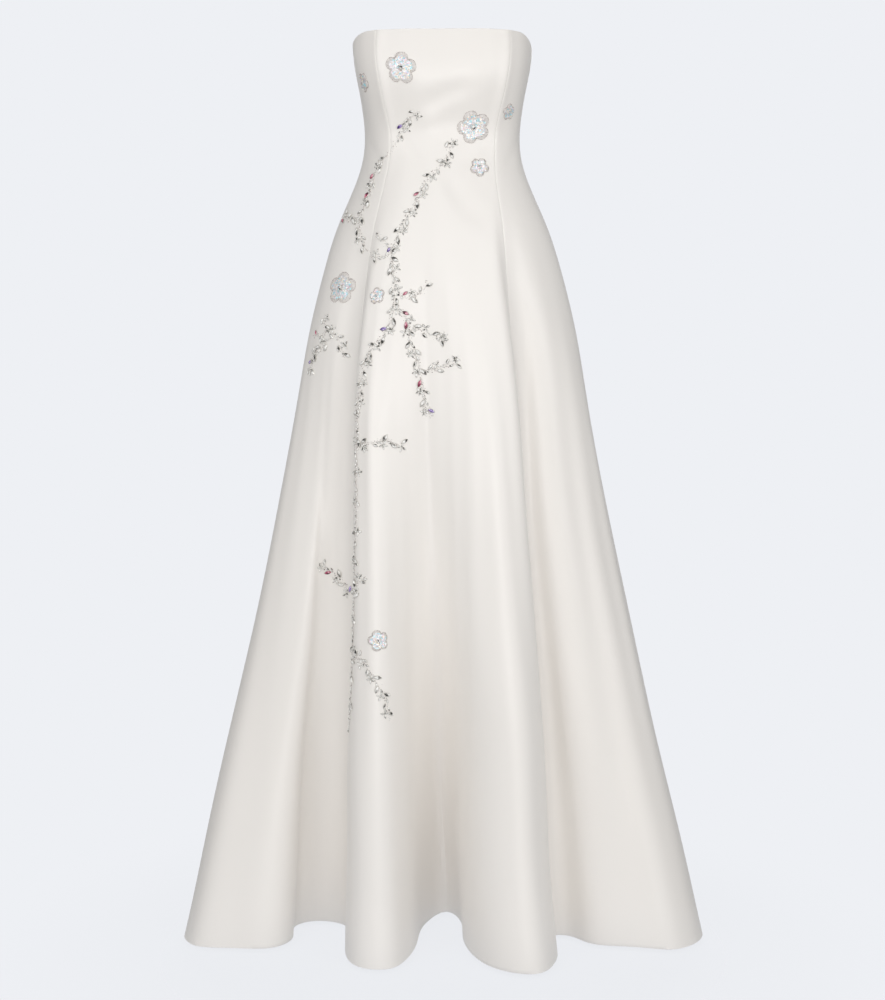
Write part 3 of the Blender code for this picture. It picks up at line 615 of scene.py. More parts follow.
def add_gores(material):
    """The seven gores, each with the hem, length and area of its outer face."""
    made = {}
    for index, gore in enumerate(GORES):
        piece, outer = gore_shell(index, material)
        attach(piece, "gown")
        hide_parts(gore.name)
        hem = distances(outer[0])[-1]
        length = distances(outer[:, outer.shape[1] // 2])[-1]
        area = quad_areas(outer).sum()
        made[gore.name] = (piece, (round(hem, 3), round(length, 3)), round(area, 3))
    return made


# Materials

def new_material(name):
    material = bpy.data.materials.new(name)
    material.use_nodes = True
    return material, material.node_tree.nodes, material.node_tree.links


def set_inputs(node, **values):
    """Sets a node's sockets by their names, with an underscore for each space."""
    for name, value in values.items():
        node.inputs[name.replace("_", " ")].default_value = value


def add_node(nodes, kind, **values):
    node = nodes.new(f"ShaderNode{kind}")
    set_inputs(node, **values)
    return node


def texture(nodes, links, kind, vector=None, **values):
    """A procedural texture over a vector, or over the object's box where none is given."""
    node = add_node(nodes, f"Tex{kind}", **values)
    if vector is not None:
        links.new(vector, node.inputs["Vector"])
    return node


def scaled_map(nodes, links, scale):
    """The cloth's own map in metres, stretched for a texture."""
    place = nodes.new("ShaderNodeUVMap")
    place.uv_map = "cloth"
    mapping = add_node(nodes, "Mapping", Scale=scale)
    links.new(place.outputs["UV"], mapping.inputs["Vector"])
    return mapping.outputs["Vector"]


def ramp(nodes, links, source, stops):
    """A colour ramp over a value: pairs of place and colour."""
    node = nodes.new("ShaderNodeValToRGB")
    elements = node.color_ramp.elements
    while len(elements) < len(stops):
        elements.new(0.5)
    for element, (place, colour) in zip(elements, stops):
        element.position = place
        element.color = (*colour, 1)
    links.new(source, node.inputs["Fac"])
    return node.outputs["Color"]


def bump(nodes, links, height, strength, distance, below=None):
    node = add_node(nodes, "Bump", Strength=strength, Distance=distance)
    links.new(height, node.inputs["Height"])
    if below is not None:
        links.new(below, node.inputs["Normal"])
    return node.outputs["Normal"]


def satin():
    """Heavy silk satin: a fine warp sheen, slubs across it, and a tone that drifts a little."""
    material, nodes, links = new_material("ivory_satin")
    shader = nodes["Principled BSDF"]
    set_inputs(shader, Roughness=0.38, Specular_IOR_Level=0.60, Sheen_Weight=0.25,
               Sheen_Roughness=0.45)
    drift = texture(nodes, links, "Noise", scaled_map(nodes, links, (1.6, 0.6, 1)),
                    Scale=2.2, Detail=3)
    tone = ramp(nodes, links, drift.outputs["Fac"], SATIN_TONES)
    links.new(tone, shader.inputs["Base Color"])
    slub = texture(nodes, links, "Noise", scaled_map(nodes, links, (55, 620, 1)),
                   Scale=1.0, Detail=4)
    weave = texture(nodes, links, "Wave", scaled_map(nodes, links, (1, 1.7, 1)),
                    Scale=420, Distortion=0.6)
    weave.bands_direction = "DIAGONAL"
    rough = add_node(nodes, "MapRange", To_Min=0.33, To_Max=0.43)
    links.new(slub.outputs["Fac"], rough.inputs["Value"])
    links.new(rough.outputs["Result"], shader.inputs["Roughness"])
    fine = bump(nodes, links, weave.outputs["Fac"], 0.12, 0.0001)
    coarse = bump(nodes, links, slub.outputs["Fac"], 0.10, 0.0002, fine)
    links.new(coarse, shader.inputs["Normal"])
    return material


def toned(name, stops, **values):
    """A hard shiny finish whose colour follows the tone of each facet, bead or sequin; on a cut
    stone that tone is its painted reflection and shade.
    """
    material, nodes, links = new_material(name)
    shader = nodes["Principled BSDF"]
    set_inputs(shader, **values)
    tone = nodes.new("ShaderNodeAttribute")
    tone.attribute_name = "tone"
    links.new(ramp(nodes, links, tone.outputs["Fac"], stops), shader.inputs["Base Color"])
    grain = texture(nodes, links, "Noise", Scale=900)
    worn = bump(nodes, links, grain.outputs["Fac"], 0.05, 0.0001)
    links.new(worn, shader.inputs["Normal"])
    return material


def thread_material():
    """Floss laid in satin stitch, with the glint of its strands painted in its colour as lighter
    stripes and painted shade between them, over a bump of the same stripes.
    """
    material, nodes, links = new_material("ivory_thread")
    shader = nodes["Principled BSDF"]
    set_inputs(shader, Roughness=0.5, Sheen_Weight=0.3)
    place = nodes.new("ShaderNodeTexCoord").outputs["Object"]
    strands = texture(nodes, links, "Wave", place, Scale=500, Distortion=2.0)
    # Painted glint along the strands and painted shade between them
    tone = ramp(nodes, links, strands.outputs["Fac"], THREAD_PAINTED_SHADE_AND_GLINT)
    links.new(tone, shader.inputs["Base Color"])
    ridges = bump(nodes, links, strands.outputs["Fac"], 0.3, 0.0002)
    links.new(ridges, shader.inputs["Normal"])
    return material


def metal(name, colour, roughness):
    """Plated metal with faint brush marks."""
    material, nodes, links = new_material(name)
    shader = nodes["Principled BSDF"]
    set_inputs(shader, Base_Color=(*colour, 1), Metallic=1.0, Roughness=roughness)
    place = nodes.new("ShaderNodeTexCoord").outputs["Object"]
    marks = texture(nodes, links, "Noise", place, Scale=1400)
    brushed = bump(nodes, links, marks.outputs["Fac"], 0.15, 0.0001)
    links.new(brushed, shader.inputs["Normal"])
    return material


# Tones as pairs of place and colour, and the gloss that goes with them
SATIN_TONES = ((0.30, (0.882, 0.851, 0.811)), (0.70, (0.912, 0.883, 0.845)))
THREAD_PAINTED_SHADE_AND_GLINT = ((0.0, (0.70, 0.66, 0.63)), (1.0, (0.84, 0.81, 0.78)))
# The stones' ramps are painted reflection: near black for painted dark facets up to white for
# painted light, over the ruby's and violet's own colour
CRYSTAL_PAINTED_REFLECTIONS = (
    (0.00, (0.045, 0.043, 0.040)), (0.20, (0.22, 0.215, 0.20)), (0.42, (0.64, 0.63, 0.60)),
    (0.66, (0.92, 0.91, 0.88)), (1.00, (1.00, 1.00, 0.98)),
)
RUBY_TONES_AND_PAINTED_REFLECTIONS = (
    (0.00, (0.08, 0.01, 0.03)), (0.45, (0.42, 0.06, 0.13)), (0.75, (0.78, 0.34, 0.42)),
    (1.00, (0.98, 0.78, 0.82)),
)
VIOLET_TONES_AND_PAINTED_REFLECTIONS = (
    (0.00, (0.03, 0.01, 0.08)), (0.45, (0.15, 0.08, 0.36)), (0.75, (0.48, 0.38, 0.72)),
    (1.00, (0.88, 0.84, 0.98)),
)
BEAD_TONES = (
    (0.00, (0.30, 0.25, 0.24)), (0.40, (0.62, 0.57, 0.54)), (0.70, (0.85, 0.83, 0.80)),
    (1.00, (0.98, 0.97, 0.96)),
)
SEQUIN_TONES = (
    (0.00, (0.45, 0.84, 0.93)), (0.14, (0.62, 0.90, 0.95)), (0.28, (0.95, 0.72, 0.86)),
    (0.42, (0.97, 0.88, 0.66)), (0.56, (0.93, 0.91, 0.90)), (0.80, (0.76, 0.76, 0.80)),
    (1.00, (1.00, 1.00, 1.00)),
)
CUT_GLOSS = {"Roughness": 0.12, "Specular_IOR_Level": 0.35, "Coat_Weight": 0.4,
             "Coat_Roughness": 0.06}

MATERIALS = {
    "satin": satin(),
    "crystal": toned("clear_crystal", CRYSTAL_PAINTED_REFLECTIONS, **CUT_GLOSS),
    "ruby": toned("ruby_crystal", RUBY_TONES_AND_PAINTED_REFLECTIONS, **CUT_GLOSS),
    "violet": toned("violet_crystal", VIOLET_TONES_AND_PAINTED_REFLECTIONS, **CUT_GLOSS),
    "setting": metal("stone_setting", (0.66, 0.645, 0.60), 0.42),
    "bead": toned("glass_bead", BEAD_TONES, Metallic=0.10, Roughness=0.18, Coat_Weight=0.8,
                  Coat_Roughness=0.05),
    "sequin": toned("sequin", SEQUIN_TONES, Metallic=0.15, Roughness=0.24, Coat_Weight=0.5,
                    Coat_Roughness=0.10),
    "thread": thread_material(),
    "zip": metal("zip_metal", (0.80, 0.79, 0.76), 0.22),
}


# Camera, light and stage

CAMERA_DISTANCE = 2.7
CAMERA_HEIGHT = -0.2777
CAMERA_PITCH_DEGREES = 5.9
CAMERA_LENS = 62.7
FLOOR_CLEARANCE = 0.006
FLOOR_RADIUS = 2.4
FLOOR_SIDES = 96
BACKDROP = (0.855, 0.871, 0.905)
ROOM_LIGHT = 0.36
FLOOR_GLOW = 0.90
FLOOR_BOUNCE = 0.60
FLOOR_FADE_START = 0.3
FLOOR_FADE_END = 0.8

SoftLight = namedtuple("SoftLight", "name place size power colour")
SOFT_LIGHTS = (
    SoftLight("front", (-0.3, -2.4, 1.20), 2.2, 8.5, (1.0, 1.0, 1.0)),
    SoftLight("low_front", (0.05, -4.3, -0.8), 2.2, 41, (1.0, 0.98, 0.972)),
    SoftLight("side_right", (-1.6, -2.1, 0.15), 1.8, 13.5, (1.0, 1.0, 1.0)),
    SoftLight("side_left", (1.6, -2.1, 0.15), 1.8, 17, (1.0, 1.0, 1.0)),
    SoftLight("behind", (0.1, 3.8, 1.6), 2.8, 62, (1.0, 1.0, 1.0)),
)
LIGHT_TARGET = Vector((0, 0, -0.45))


def add_camera():
    data = bpy.data.cameras.new("camera")
    data.lens = CAMERA_LENS
    camera = bpy.data.objects.new("camera", data)
    camera.location = (0, -CAMERA_DISTANCE, CAMERA_HEIGHT)
    camera.rotation_euler = (math.radians(90 - CAMERA_PITCH_DEGREES), 0, 0)
    bpy.context.scene.collection.objects.link(camera)
    bpy.context.scene.camera = camera


def add_lights():
    for soft in SOFT_LIGHTS:
        data = bpy.data.lights.new(soft.name, "AREA")
        data.shape = "DISK"
        data.size = soft.size
        data.energy = soft.power
        data.color = soft.colour
        lamp = bpy.data.objects.new(soft.name, data)
        lamp.location = soft.place
        aim = LIGHT_TARGET - lamp.location
        lamp.rotation_euler = aim.to_track_quat("-Z", "Y").to_euler()
        bpy.context.scene.collection.objects.link(lamp)


def by_ray(nodes, links, lit, seen):
    """One shader for what the camera sees, and another for the light that it gives."""
    path = nodes.new("ShaderNodeLightPath")
    mix = nodes.new("ShaderNodeMixShader")
    links.new(path.outputs["Is Camera Ray"], mix.inputs["Fac"])
    links.new(lit, mix.inputs[1])
    links.new(seen, mix.inputs[2])
    return mix.outputs["Shader"]


def add_world():
    """An even pale room: the plain backdrop where it is seen, and a softer light from it."""
    world = bpy.data.worlds.new("room")
    bpy.context.scene.world = world
    world.use_nodes = True
    nodes, links = world.node_tree.nodes, world.node_tree.links
    seen = nodes["Background"]
    set_inputs(seen, Color=(*BACKDROP, 1))
    lit = add_node(nodes, "Background", Color=(1.0, 1.0, 1.0, 1), Strength=ROOM_LIGHT)
    both = by_ray(nodes, links, lit.outputs["Background"], seen.outputs["Background"])
    links.new(both, nodes["World Output"].inputs["Surface"])


def add_floor():
    """A plain pale floor that fades into the backdrop, and lights the hem a little."""
    material, nodes, links = new_material("floor")
    shader = nodes["Principled BSDF"]
    matt = (*(part * (1 - FLOOR_GLOW) for part in BACKDROP), 1)
    set_inputs(shader, Base_Color=matt, Roughness=0.9, Specular_IOR_Level=0.0,
               Emission_Color=(*BACKDROP, 1), Emission_Strength=FLOOR_GLOW)
    bounce = add_node(nodes, "Emission", Color=(*BACKDROP, 1), Strength=FLOOR_BOUNCE)
    whole = by_ray(nodes, links, bounce.outputs["Emission"], shader.outputs["BSDF"])
    place = nodes.new("ShaderNodeTexCoord")
    away = nodes.new("ShaderNodeVectorMath")
    away.operation = "LENGTH"
    fade = add_node(nodes, "MapRange", From_Min=FLOOR_FADE_START, From_Max=FLOOR_FADE_END)
    fade.interpolation_type = "SMOOTHSTEP"
    clear = nodes.new("ShaderNodeBsdfTransparent")
    mix = nodes.new("ShaderNodeMixShader")
    links.new(place.outputs["Object"], away.inputs[0])
    links.new(away.outputs["Value"], fade.inputs["Value"])
    links.new(fade.outputs["Result"], mix.inputs["Fac"])
    links.new(whole, mix.inputs[1])
    links.new(clear.outputs["BSDF"], mix.inputs[2])
    links.new(mix.outputs["Shader"], nodes["Material Output"].inputs["Surface"])
    rim = closed_ring(FLOOR_SIDES)
    points = np.stack([np.cos(rim), np.sin(rim), np.zeros_like(rim)], axis=-1) * FLOOR_RADIUS
    floor = make_object("floor", points, [list(range(FLOOR_SIDES))], [material])
    floor.location.z = HEM_HEIGHT - FLOOR_CLEARANCE
    floor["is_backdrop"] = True


# Embroidery: the stems and blossoms of the frame, as places on the cloth

Stem = namedtuple("Stem", "name leaf_step places")
STEMS = (
    Stem("trunk", 0.0150, (
        (0.519, -0.018), (0.514, -0.040), (0.477, -0.067), (0.456, -0.099), (0.441, -0.123),
        (0.428, -0.150), (0.421, -0.178), (0.430, -0.212), (0.434, -0.245), (0.430, -0.286),
        (0.415, -0.311), (0.404, -0.334), (0.399, -0.364), (0.397, -0.413),
    )),
    Stem("lower_trunk", 0.0450, (
        (0.397, -0.413), (0.397, -0.471), (0.397, -0.550), (0.397, -0.623), (0.396, -0.700),
        (0.395, -0.764), (0.394, -0.846), (0.393, -0.905),
    )),
    Stem("bodice_branch", 0.0140, (
        (0.435, 0.025), (0.402, 0.004), (0.383, -0.020), (0.360, -0.041), (0.343, -0.064),
        (0.343, -0.094), (0.339, -0.120), (0.349, -0.153), (0.367, -0.175), (0.401, -0.185),
        (0.421, -0.178),
    )),
    Stem("waist_twig", 0.0140, ((0.294, -0.124), (0.315, -0.127), (0.337, -0.124))),
    Stem("waist_leaflet", 0.0140, ((0.383, -0.151), (0.406, -0.166), (0.419, -0.177))),
    Stem("hip_twig", 0.0140, (
        (0.433, -0.240), (0.460, -0.244), (0.479, -0.239), (0.489, -0.219),
    )),
    Stem("hip_branch", 0.0145, (
        (0.439, -0.257), (0.455, -0.275), (0.469, -0.289), (0.484, -0.295), (0.501, -0.303),
        (0.518, -0.310),
    )),
    Stem("thigh_branch", 0.0150, (
        (0.460, -0.281), (0.463, -0.304), (0.474, -0.333), (0.480, -0.358), (0.484, -0.386),
        (0.486, -0.404), (0.492, -0.422),
    )),
    Stem("thigh_twig", 0.0145, (
        (0.478, -0.349), (0.491, -0.352), (0.507, -0.347), (0.531, -0.341),
    )),
    Stem("side_hip_spray", 0.0140, (
        (0.306, -0.276), (0.315, -0.293), (0.333, -0.300), (0.342, -0.317), (0.348, -0.334),
    )),
    Stem("side_hip_branch", 0.0140, (
        (0.323, -0.305), (0.307, -0.320), (0.292, -0.334), (0.290, -0.360),
    )),
    Stem("side_hip_twig", 0.0140, ((0.315, -0.294), (0.299, -0.303), (0.286, -0.300))),
    Stem("thigh_side_twig", 0.0150, (
        (0.397, -0.465), (0.414, -0.459), (0.430, -0.457), (0.456, -0.462),
    )),
    Stem("knee_side_twig", 0.0145, (
        (0.357, -0.697), (0.351, -0.680), (0.343, -0.665), (0.332, -0.651),
    )),
    Stem("knee_leaflet", 0.0140, ((0.397, -0.690), (0.403, -0.668), (0.410, -0.660))),
    Stem("shin_branch", 0.0150, ((0.395, -0.790), (0.401, -0.783), (0.407, -0.776))),
    Stem("shin_twig", 0.0150, (
        (0.401, -0.782), (0.411, -0.798), (0.417, -0.822), (0.422, -0.847), (0.424, -0.879),
    )),
)

Blossom = namedtuple("Blossom", "name share height radius turn_degrees")
BLOSSOMS = (
    Blossom("bust_blossom", 0.418, 0.0870, 0.0225, 10),
    Blossom("side_bust_blossom", 0.327, 0.0720, 0.0140, 50),
    Blossom("waist_blossom", 0.575, 0.0050, 0.0240, 40),
    Blossom("side_waist_blossom", 0.651, 0.0290, 0.0120, 25),
    Blossom("small_waist_blossom", 0.593, -0.0530, 0.0140, 60),
    Blossom("hip_blossom", 0.332, -0.2300, 0.0240, 15),
    Blossom("small_hip_blossom", 0.407, -0.2420, 0.0120, 30),
    Blossom("shin_blossom", 0.418, -0.7560, 0.0160, 35),
)
PETALS = 5
PETAL_NOTCH = 0.30
PETAL_NOTCH_POWER = 1.5
PETAL_RISE = 0.0021
PETAL_SHOULDER_POWER = 0.9
PETAL_TOP_POWER = 0.7
PETAL_FOLD = 0.35
PETAL_SIDES = 60
PETAL_RINGS = 8
PETAL_LIFT = 0.00015
PETAL_MIDDLE_LIFT = 0.0002
PETAL_UNDER = 0.0004

# Crystal leaves, set by turns on either side of a stem
LEAF_HALF_LENGTH = 0.0054
LEAF_HALF_WIDTH = 0.0026
LEAF_RISE = 0.0024
LEAF_IN_CUP = 0.94
LEAF_SIDES = 12
LEAF_FULLNESS = 2.1
LEAF_LEAN_DEGREES = 38
LEAF_OFFSET = 0.0050
LEAF_SPACING = 0.0106
LEAF_TURN = 0.35
LEAF_SIZE = (0.80, 1.22)
LEAF_LIFT = 0.0004
# The range of painted shade on a leaf's dark side
LEAF_PAINTED_SHADE = (0.15, 1.1)
CLEAR_OF_SEAM = 0.004
CLEAR_OF_MOTIF = 0.0012
STEP_AHEAD = 1e-4

# Beads and small stones along a stem
BEAD_RADIUS = 0.00095
BEAD_SPACING = 0.00215
BEAD_WANDER = 0.0013
BEAD_SIZE = (0.55, 1.1)
BEAD_TONE = (0.25, 0.95)
BEAD_SUNK = 0.8
BEAD_FROM_STONE = 0.0034
BEAD_FROM_SMALL_LEAF = 0.0016
LOOSE_BEAD_REACH = 0.0048
SMALL_LEAF_HALF_LENGTH = 0.0037
SMALL_LEAF_HALF_WIDTH = 0.0018
SMALL_LEAF_RISE = 0.0016
SMALL_LEAF_SIDES = 8
SMALL_LEAF_SPACING = 0.0062
SMALL_LEAF_FROM_STONE = 0.0052
SMALL_LEAF_OFFSET = (0.0006, 0.0026)
SMALL_LEAF_LEAN_DEGREES = 32
SMALL_LEAF_LEAN = (0.2, 1.3)
SMALL_LEAF_SIZE = (0.65, 1.0)
SMALL_LEAF_MISSING = 0.25
SMALL_STONE_LIFT = 0.0003
ROUND_SMOOTH_DEGREES = 60

# Sequins, quills and beads of a blossom: places as shares of its radius, gaps in bead radii
SEQUIN_RADIUS = 0.0013
SEQUIN_DISH = 0.20
SEQUIN_MIDDLE = 0.10
SEQUIN_SPACING = 0.0017
SEQUIN_REACH = 0.74
SEQUIN_INNER = 0.35
SEQUIN_CROWDING = 0.86
FEWEST_SEQUINS = 6
SEQUIN_SHIFT = 0.3
SEQUIN_SIZE = (0.75, 1.1)
SEQUIN_LIFT = 0.0005
OUTLINE_BEAD_RADIUS = 0.0007
OUTLINE_SAMPLES = 721
OUTLINE_GAP = 2.25
OUTLINE_SIZE = (0.8, 1.1)
OUTLINE_TONE = (0.15, 0.7)
HEART_STONE = 0.13
HEART_LIFT = 0.0008
# The painted shade on the heart stone's dark side
HEART_PAINTED_SHADE = 0.8
HEART_GAP = 2.2
HEART_RING = 1.15
HEART_BEAD_LIFT = 0.0003
QUILLS = 5
QUILL_BEAD_RADIUS = 0.00052
QUILL_SPREAD = 0.92
QUILL_START = SEQUIN_REACH - 0.02
QUILL_END = 0.94
QUILL_GAP = 2.5
QUILL_TONE = (0.3, 1)

# Small flowers of stones across from the leaves
CLUSTER_REACH = 0.0062
CLUSTER_SETBACK = 0.9
CLUSTER_SPACING = 0.021
CLUSTER_STONE = 0.00165
CLUSTER_STONE_RISE = 0.0017
CLUSTER_STONE_SIZE = (0.6, 0.9)
# The range of painted shade on a cluster's middle stone
CLUSTER_STONE_PAINTED_SHADE = (0.2, 0.9)
CLUSTER_PETALS = (4, 7)
CLUSTER_PETAL_OUT = (0.0036, 0.0046)
CLUSTER_PETAL_TURN = 0.3
CLUSTER_PETAL_SIZE = (0.7, 0.95)
# The range of painted shade on a cluster's petal stones
CLUSTER_PETAL_PAINTED_SHADE = (0, 0.9)
STONE_TILT = 0.22
STONE_SEED = 5

# A cut stone: the metal cup and the girdle as shares of its outline and rise, and its facets
CUP_RINGS = ((1.18, 0.0), (1.12, 0.30))
GIRDLE = (0.98, 0.44)
TABLE = (0.52, 1.0)
TABLE_CROWN = 1.05
STONE_FINISH = 0
CUP_FINISH = 1
# Painted reflections of the facets: the painted light tone, its random spread, and how the
# painted shade deepens towards the dark side
FACET_PAINTED_LIGHT = 0.88
FACET_PAINTED_LIGHT_SPREAD = (-0.42, 0.12)
FACET_PAINTED_SHADE_POWER = 1.4

# Stones that are not clear: the crystal leaf nearest to each place takes this finish
TINTS = {
    "ruby": (
        (0.319, -0.095), (0.335, -0.054), (0.295, -0.129), (0.461, -0.090), (0.459, -0.238),
        (0.466, -0.263), (0.452, -0.273), (0.286, -0.294), (0.488, -0.368), (0.338, -0.668),
    ),
    "violet": (
        (0.390, 0.000), (0.416, -0.179), (0.430, -0.291), (0.285, -0.346), (0.491, -0.418),
        (0.357, -0.692),
    ),
}


class Seat:
    """A place on the cloth with its own axes, turned about the normal, to set a motif on."""

    def __init__(self, share, level, turn=0.0):
        point, around, upward, normal = CLOTH.axes(share, level)
        self.share, self.level, self.turn = share, level, turn
        self.point, self.normal = point, normal
        self.per_share, self.per_level = np.linalg.norm(around), np.linalg.norm(upward)
        right = around / self.per_share
        up = np.cross(normal, right)
        self.along = right * math.cos(turn) + up * math.sin(turn)
        self.across = np.cross(normal, self.along)

    def moved(self, along, across):
        """The share and level of a point given in metres along and across the seat."""
        cosine, sine = math.cos(self.turn), math.sin(self.turn)
        right = along * cosine - across * sine
        up = along * sine + across * cosine
        return self.share + right / self.per_share, self.level + up / self.per_level

    def matrix(self, scale=1.0, lift=0.0, tilt=(0.0, 0.0)):
        """Columns that carry a pattern's own axes on to the cloth, and its place there."""
        up = self.normal + self.along * tilt[0] + self.across * tilt[1]
        up /= np.linalg.norm(up)
        along = self.along - up * self.along.dot(up)
        along /= np.linalg.norm(along)
        turned = np.stack([along, np.cross(up, along), up], axis=1)
        return turned * scale, self.point + self.normal * lift


def along_stem(stem, step):
    """Seats along a stem, each turned along it, with their numbers."""
    places = np.array(stem.places)
    on_cloth, _ = CLOTH.at(places[:, 0], places[:, 1])
    way = distances(on_cloth)
    lines = [Spline(way, places[:, axis]) for axis in (0, 1)]
    for i in range(int(way[-1] / step) + 1):
        share, level = (float(line(i * step)) for line in lines)
        next_share, next_level = (float(line(i * step + STEP_AHEAD)) for line in lines)
        seat = Seat(share, level)
        right = (next_share - share) * seat.per_share
        up = (next_level - level) * seat.per_level
        yield i, Seat(share, level, math.atan2(up, right))


def clear_of_seams(seat, radius):
    seams = [gore.start for gore in GORES] + [1.0]
    room = min(abs(seat.share - seam) for seam in seams) * seat.per_share
    return room > radius + CLEAR_OF_SEAM


def apart(seat, others, distance):
    return all(np.linalg.norm(seat.point - other.point) > distance for other in others)


def clear_of_blossoms(seat, radius):
    return all(
        np.linalg.norm(seat.point - BLOSSOM_SEATS[blossom.name].point)
        > radius + blossom.radius + CLEAR_OF_MOTIF
        for blossom in BLOSSOMS
    )


def has_room(seat, radius):
    return clear_of_seams(seat, radius) and clear_of_blossoms(seat, radius)


BLOSSOM_SEATS = {
    blossom.name: Seat(blossom.share, blossom.height, math.radians(blossom.turn_degrees))
    for blossom in BLOSSOMS
}


def leaf_seats():
    """Every crystal leaf that has room beside its stem, and the free place across from it."""
    leaves, free = [], []
    lean = math.radians(LEAF_LEAN_DEGREES)
    for stem in STEMS:
        for i, stalk in along_stem(stem, stem.leaf_step):
            side = 1 if i % 2 else -1
            place = stalk.moved(LEAF_OFFSET / 2, side * LEAF_OFFSET)
            leaf = Seat(*place, stalk.turn + side * lean)
            if has_room(leaf, LEAF_HALF_LENGTH) and apart(leaf, leaves, LEAF_SPACING):
                leaves.append(leaf)
                across = -side * CLUSTER_REACH * CLUSTER_SETBACK
                free.append(Seat(*stalk.moved(0, across), stalk.turn))
    return leaves, free


class Pattern:
    """Points and faces of one stone, bead or sequin, with a finish for each face."""

    def __init__(self, points, faces, finishes=None):
        self.points = np.asarray(points, float)
        self.faces = faces
        self.finishes = finishes or [0] * len(faces)


def cut_stone(outline, height):
    """A faceted stone in a metal cup: rim, girdle, crown facets and a flat table."""
    count = len(outline)
    rings = (*CUP_RINGS, GIRDLE, TABLE)
    points = [(*(corner * scale), lift * height) for scale, lift in rings for corner in outline]
    faces, finishes = [], []
    for ring in range(len(rings) - 1):
        for i in range(count):
            a, b = ring * count + i, ring * count + (i + 1) % count
            c, d = b + count, a + count
            if ring < len(CUP_RINGS):
                faces.append((a, b, c, d))
                finishes.append(CUP_FINISH)
            else:
                faces += [(a, b, c), (a, c, d)] if i % 2 else [(a, b, d), (b, c, d)]
                finishes += [STONE_FINISH] * 2
    top, table = len(points), (len(rings) - 1) * count
    points.append((0, 0, height * TABLE_CROWN))
    for i in range(count):
        faces.append((table + i, table + (i + 1) % count, top))
        finishes.append(STONE_FINISH)
    faces.append(tuple(range(count))[::-1])
    finishes.append(CUP_FINISH)
    return Pattern(points, faces, finishes)


def leaf_outline(half_length, half_width, count):
    """A pointed oval, as two arcs that meet at its tips."""
    angle = closed_ring(count)
    x = half_length * np.cos(angle)
    fullness = 1 - np.abs(np.cos(angle)) ** LEAF_FULLNESS
    return np.stack([x, half_width * np.sign(np.sin(angle)) * fullness], axis=-1)


def round_outline(radius, count=8):
    angle = closed_ring(count)
    return np.stack([np.cos(angle), np.sin(angle)], axis=-1) * radius


def faces_between_poles(sides, rings):
    """Faces of a closed form: its lower pole, rings of points, and its upper pole."""
    last = 1 + rings * sides
    faces = []
    for i in range(sides):
        j = (i + 1) % sides
        faces += [(0, 1 + j, 1 + i), (last, last - sides + i, last - sides + j)]
        for ring in range(rings - 1):
            a, b = 1 + ring * sides + i, 1 + ring * sides + j
            faces.append((a, b, b + sides, a + sides))
    return faces


def round_bead(radius, sides, rings=4):
    points = [(0, 0, -radius)]
    for ring in range(1, rings):
        polar = math.pi * ring / rings
        rim = round_outline(radius * math.sin(polar), sides)
        points += [(x, y, -radius * math.cos(polar)) for x, y in rim]
    points.append((0, 0, radius))
    return Pattern(points, faces_between_poles(sides, rings - 1))


def sequin_disc(radius, sides=8):
    """A thin dished disc."""
    rim = [(x, y, radius * SEQUIN_DISH) for x, y in round_outline(radius, sides)]
    faces = []
    for i in range(sides):
        j = (i + 1) % sides
        faces += [(j, i, sides), (i, j, sides + 1)]
    return Pattern([*rim, (0, 0, 0), (0, 0, radius * SEQUIN_MIDDLE)], faces)


def painted_facet_reflections(pattern, dice, depth):
    """Tones of a cut stone's faces, painted as reflection: a painted dark side and a painted
    clear one, as its facets would catch a room.
    """
    middles = np.array([pattern.points[list(face)].mean(axis=0) for face in pattern.faces])
    bearing = np.arctan2(middles[:, 1], middles[:, 0]) - dice.uniform(0, FULL_TURN)
    shade = depth * ((1 + np.cos(bearing)) / 2) ** FACET_PAINTED_SHADE_POWER
    spread = dice.uniform(*FACET_PAINTED_LIGHT_SPREAD, len(middles))
    return np.clip(FACET_PAINTED_LIGHT - shade + spread, 0, 1)


def any_tilt(dice):
    return dice.uniform(-STONE_TILT, STONE_TILT, 2)


class Sewing:
    """Gathers many placed patterns into one mesh."""

    def __init__(self, seed):
        self.points, self.faces, self.finishes, self.tones = [], [], [], []
        self.count = 0
        self.dice = np.random.default_rng(seed)

    def add(self, pattern, matrix, tone=None, depth=None):
        """Places a pattern in one tone, or as a cut stone with that depth of painted shade on
        its facets' dark side.
        """
        turned, place = matrix
        self.points.append(pattern.points @ turned.T + place)
        self.faces += [tuple(i + self.count for i in face) for face in pattern.faces]
        self.finishes += pattern.finishes
        self.count += len(pattern.points)
        # A cut stone's faces take painted reflection: a painted dark side and painted light
        # facets
        if depth is not None:
            self.tones += list(painted_facet_reflections(pattern, self.dice, depth))
        else:
            value = self.dice.uniform(0, 1) if tone is None else tone
            self.tones += [value] * len(pattern.faces)

    def finish(self, name, materials, slot, smooth_angle=None):
        made = make_object(
            name, np.concatenate(self.points), self.faces, materials, smooth_angle
        )
        made.data.polygons.foreach_set("material_index", self.finishes)
        # Each face's tone: a bead's or sequin's own colour, and on a cut stone its painted
        # reflection and shade
        attribute = made.data.attributes.new("tone", "FLOAT", "FACE")
        attribute.data.foreach_set("value", np.array(self.tones, np.float32))
        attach(made, "gown")
        return made


def petal_edge(angle):
    """How far the blossom's edge reaches at an angle, as a share of its radius."""
    notch = 1 - np.abs(np.cos(PETALS * angle / 2))
    return 1 - PETAL_NOTCH * notch**PETAL_NOTCH_POWER


def petal_height(reach, angle):
    """How high the padded petals stand, at a share of the way out to the edge."""
    fold = PETAL_FOLD + (1 - PETAL_FOLD) * np.abs(np.cos(PETALS * angle / 2))
    dome = np.sin(math.pi * np.clip(reach, 0, 1) ** PETAL_SHOULDER_POWER)
    return PETAL_RISE * dome**PETAL_TOP_POWER * fold


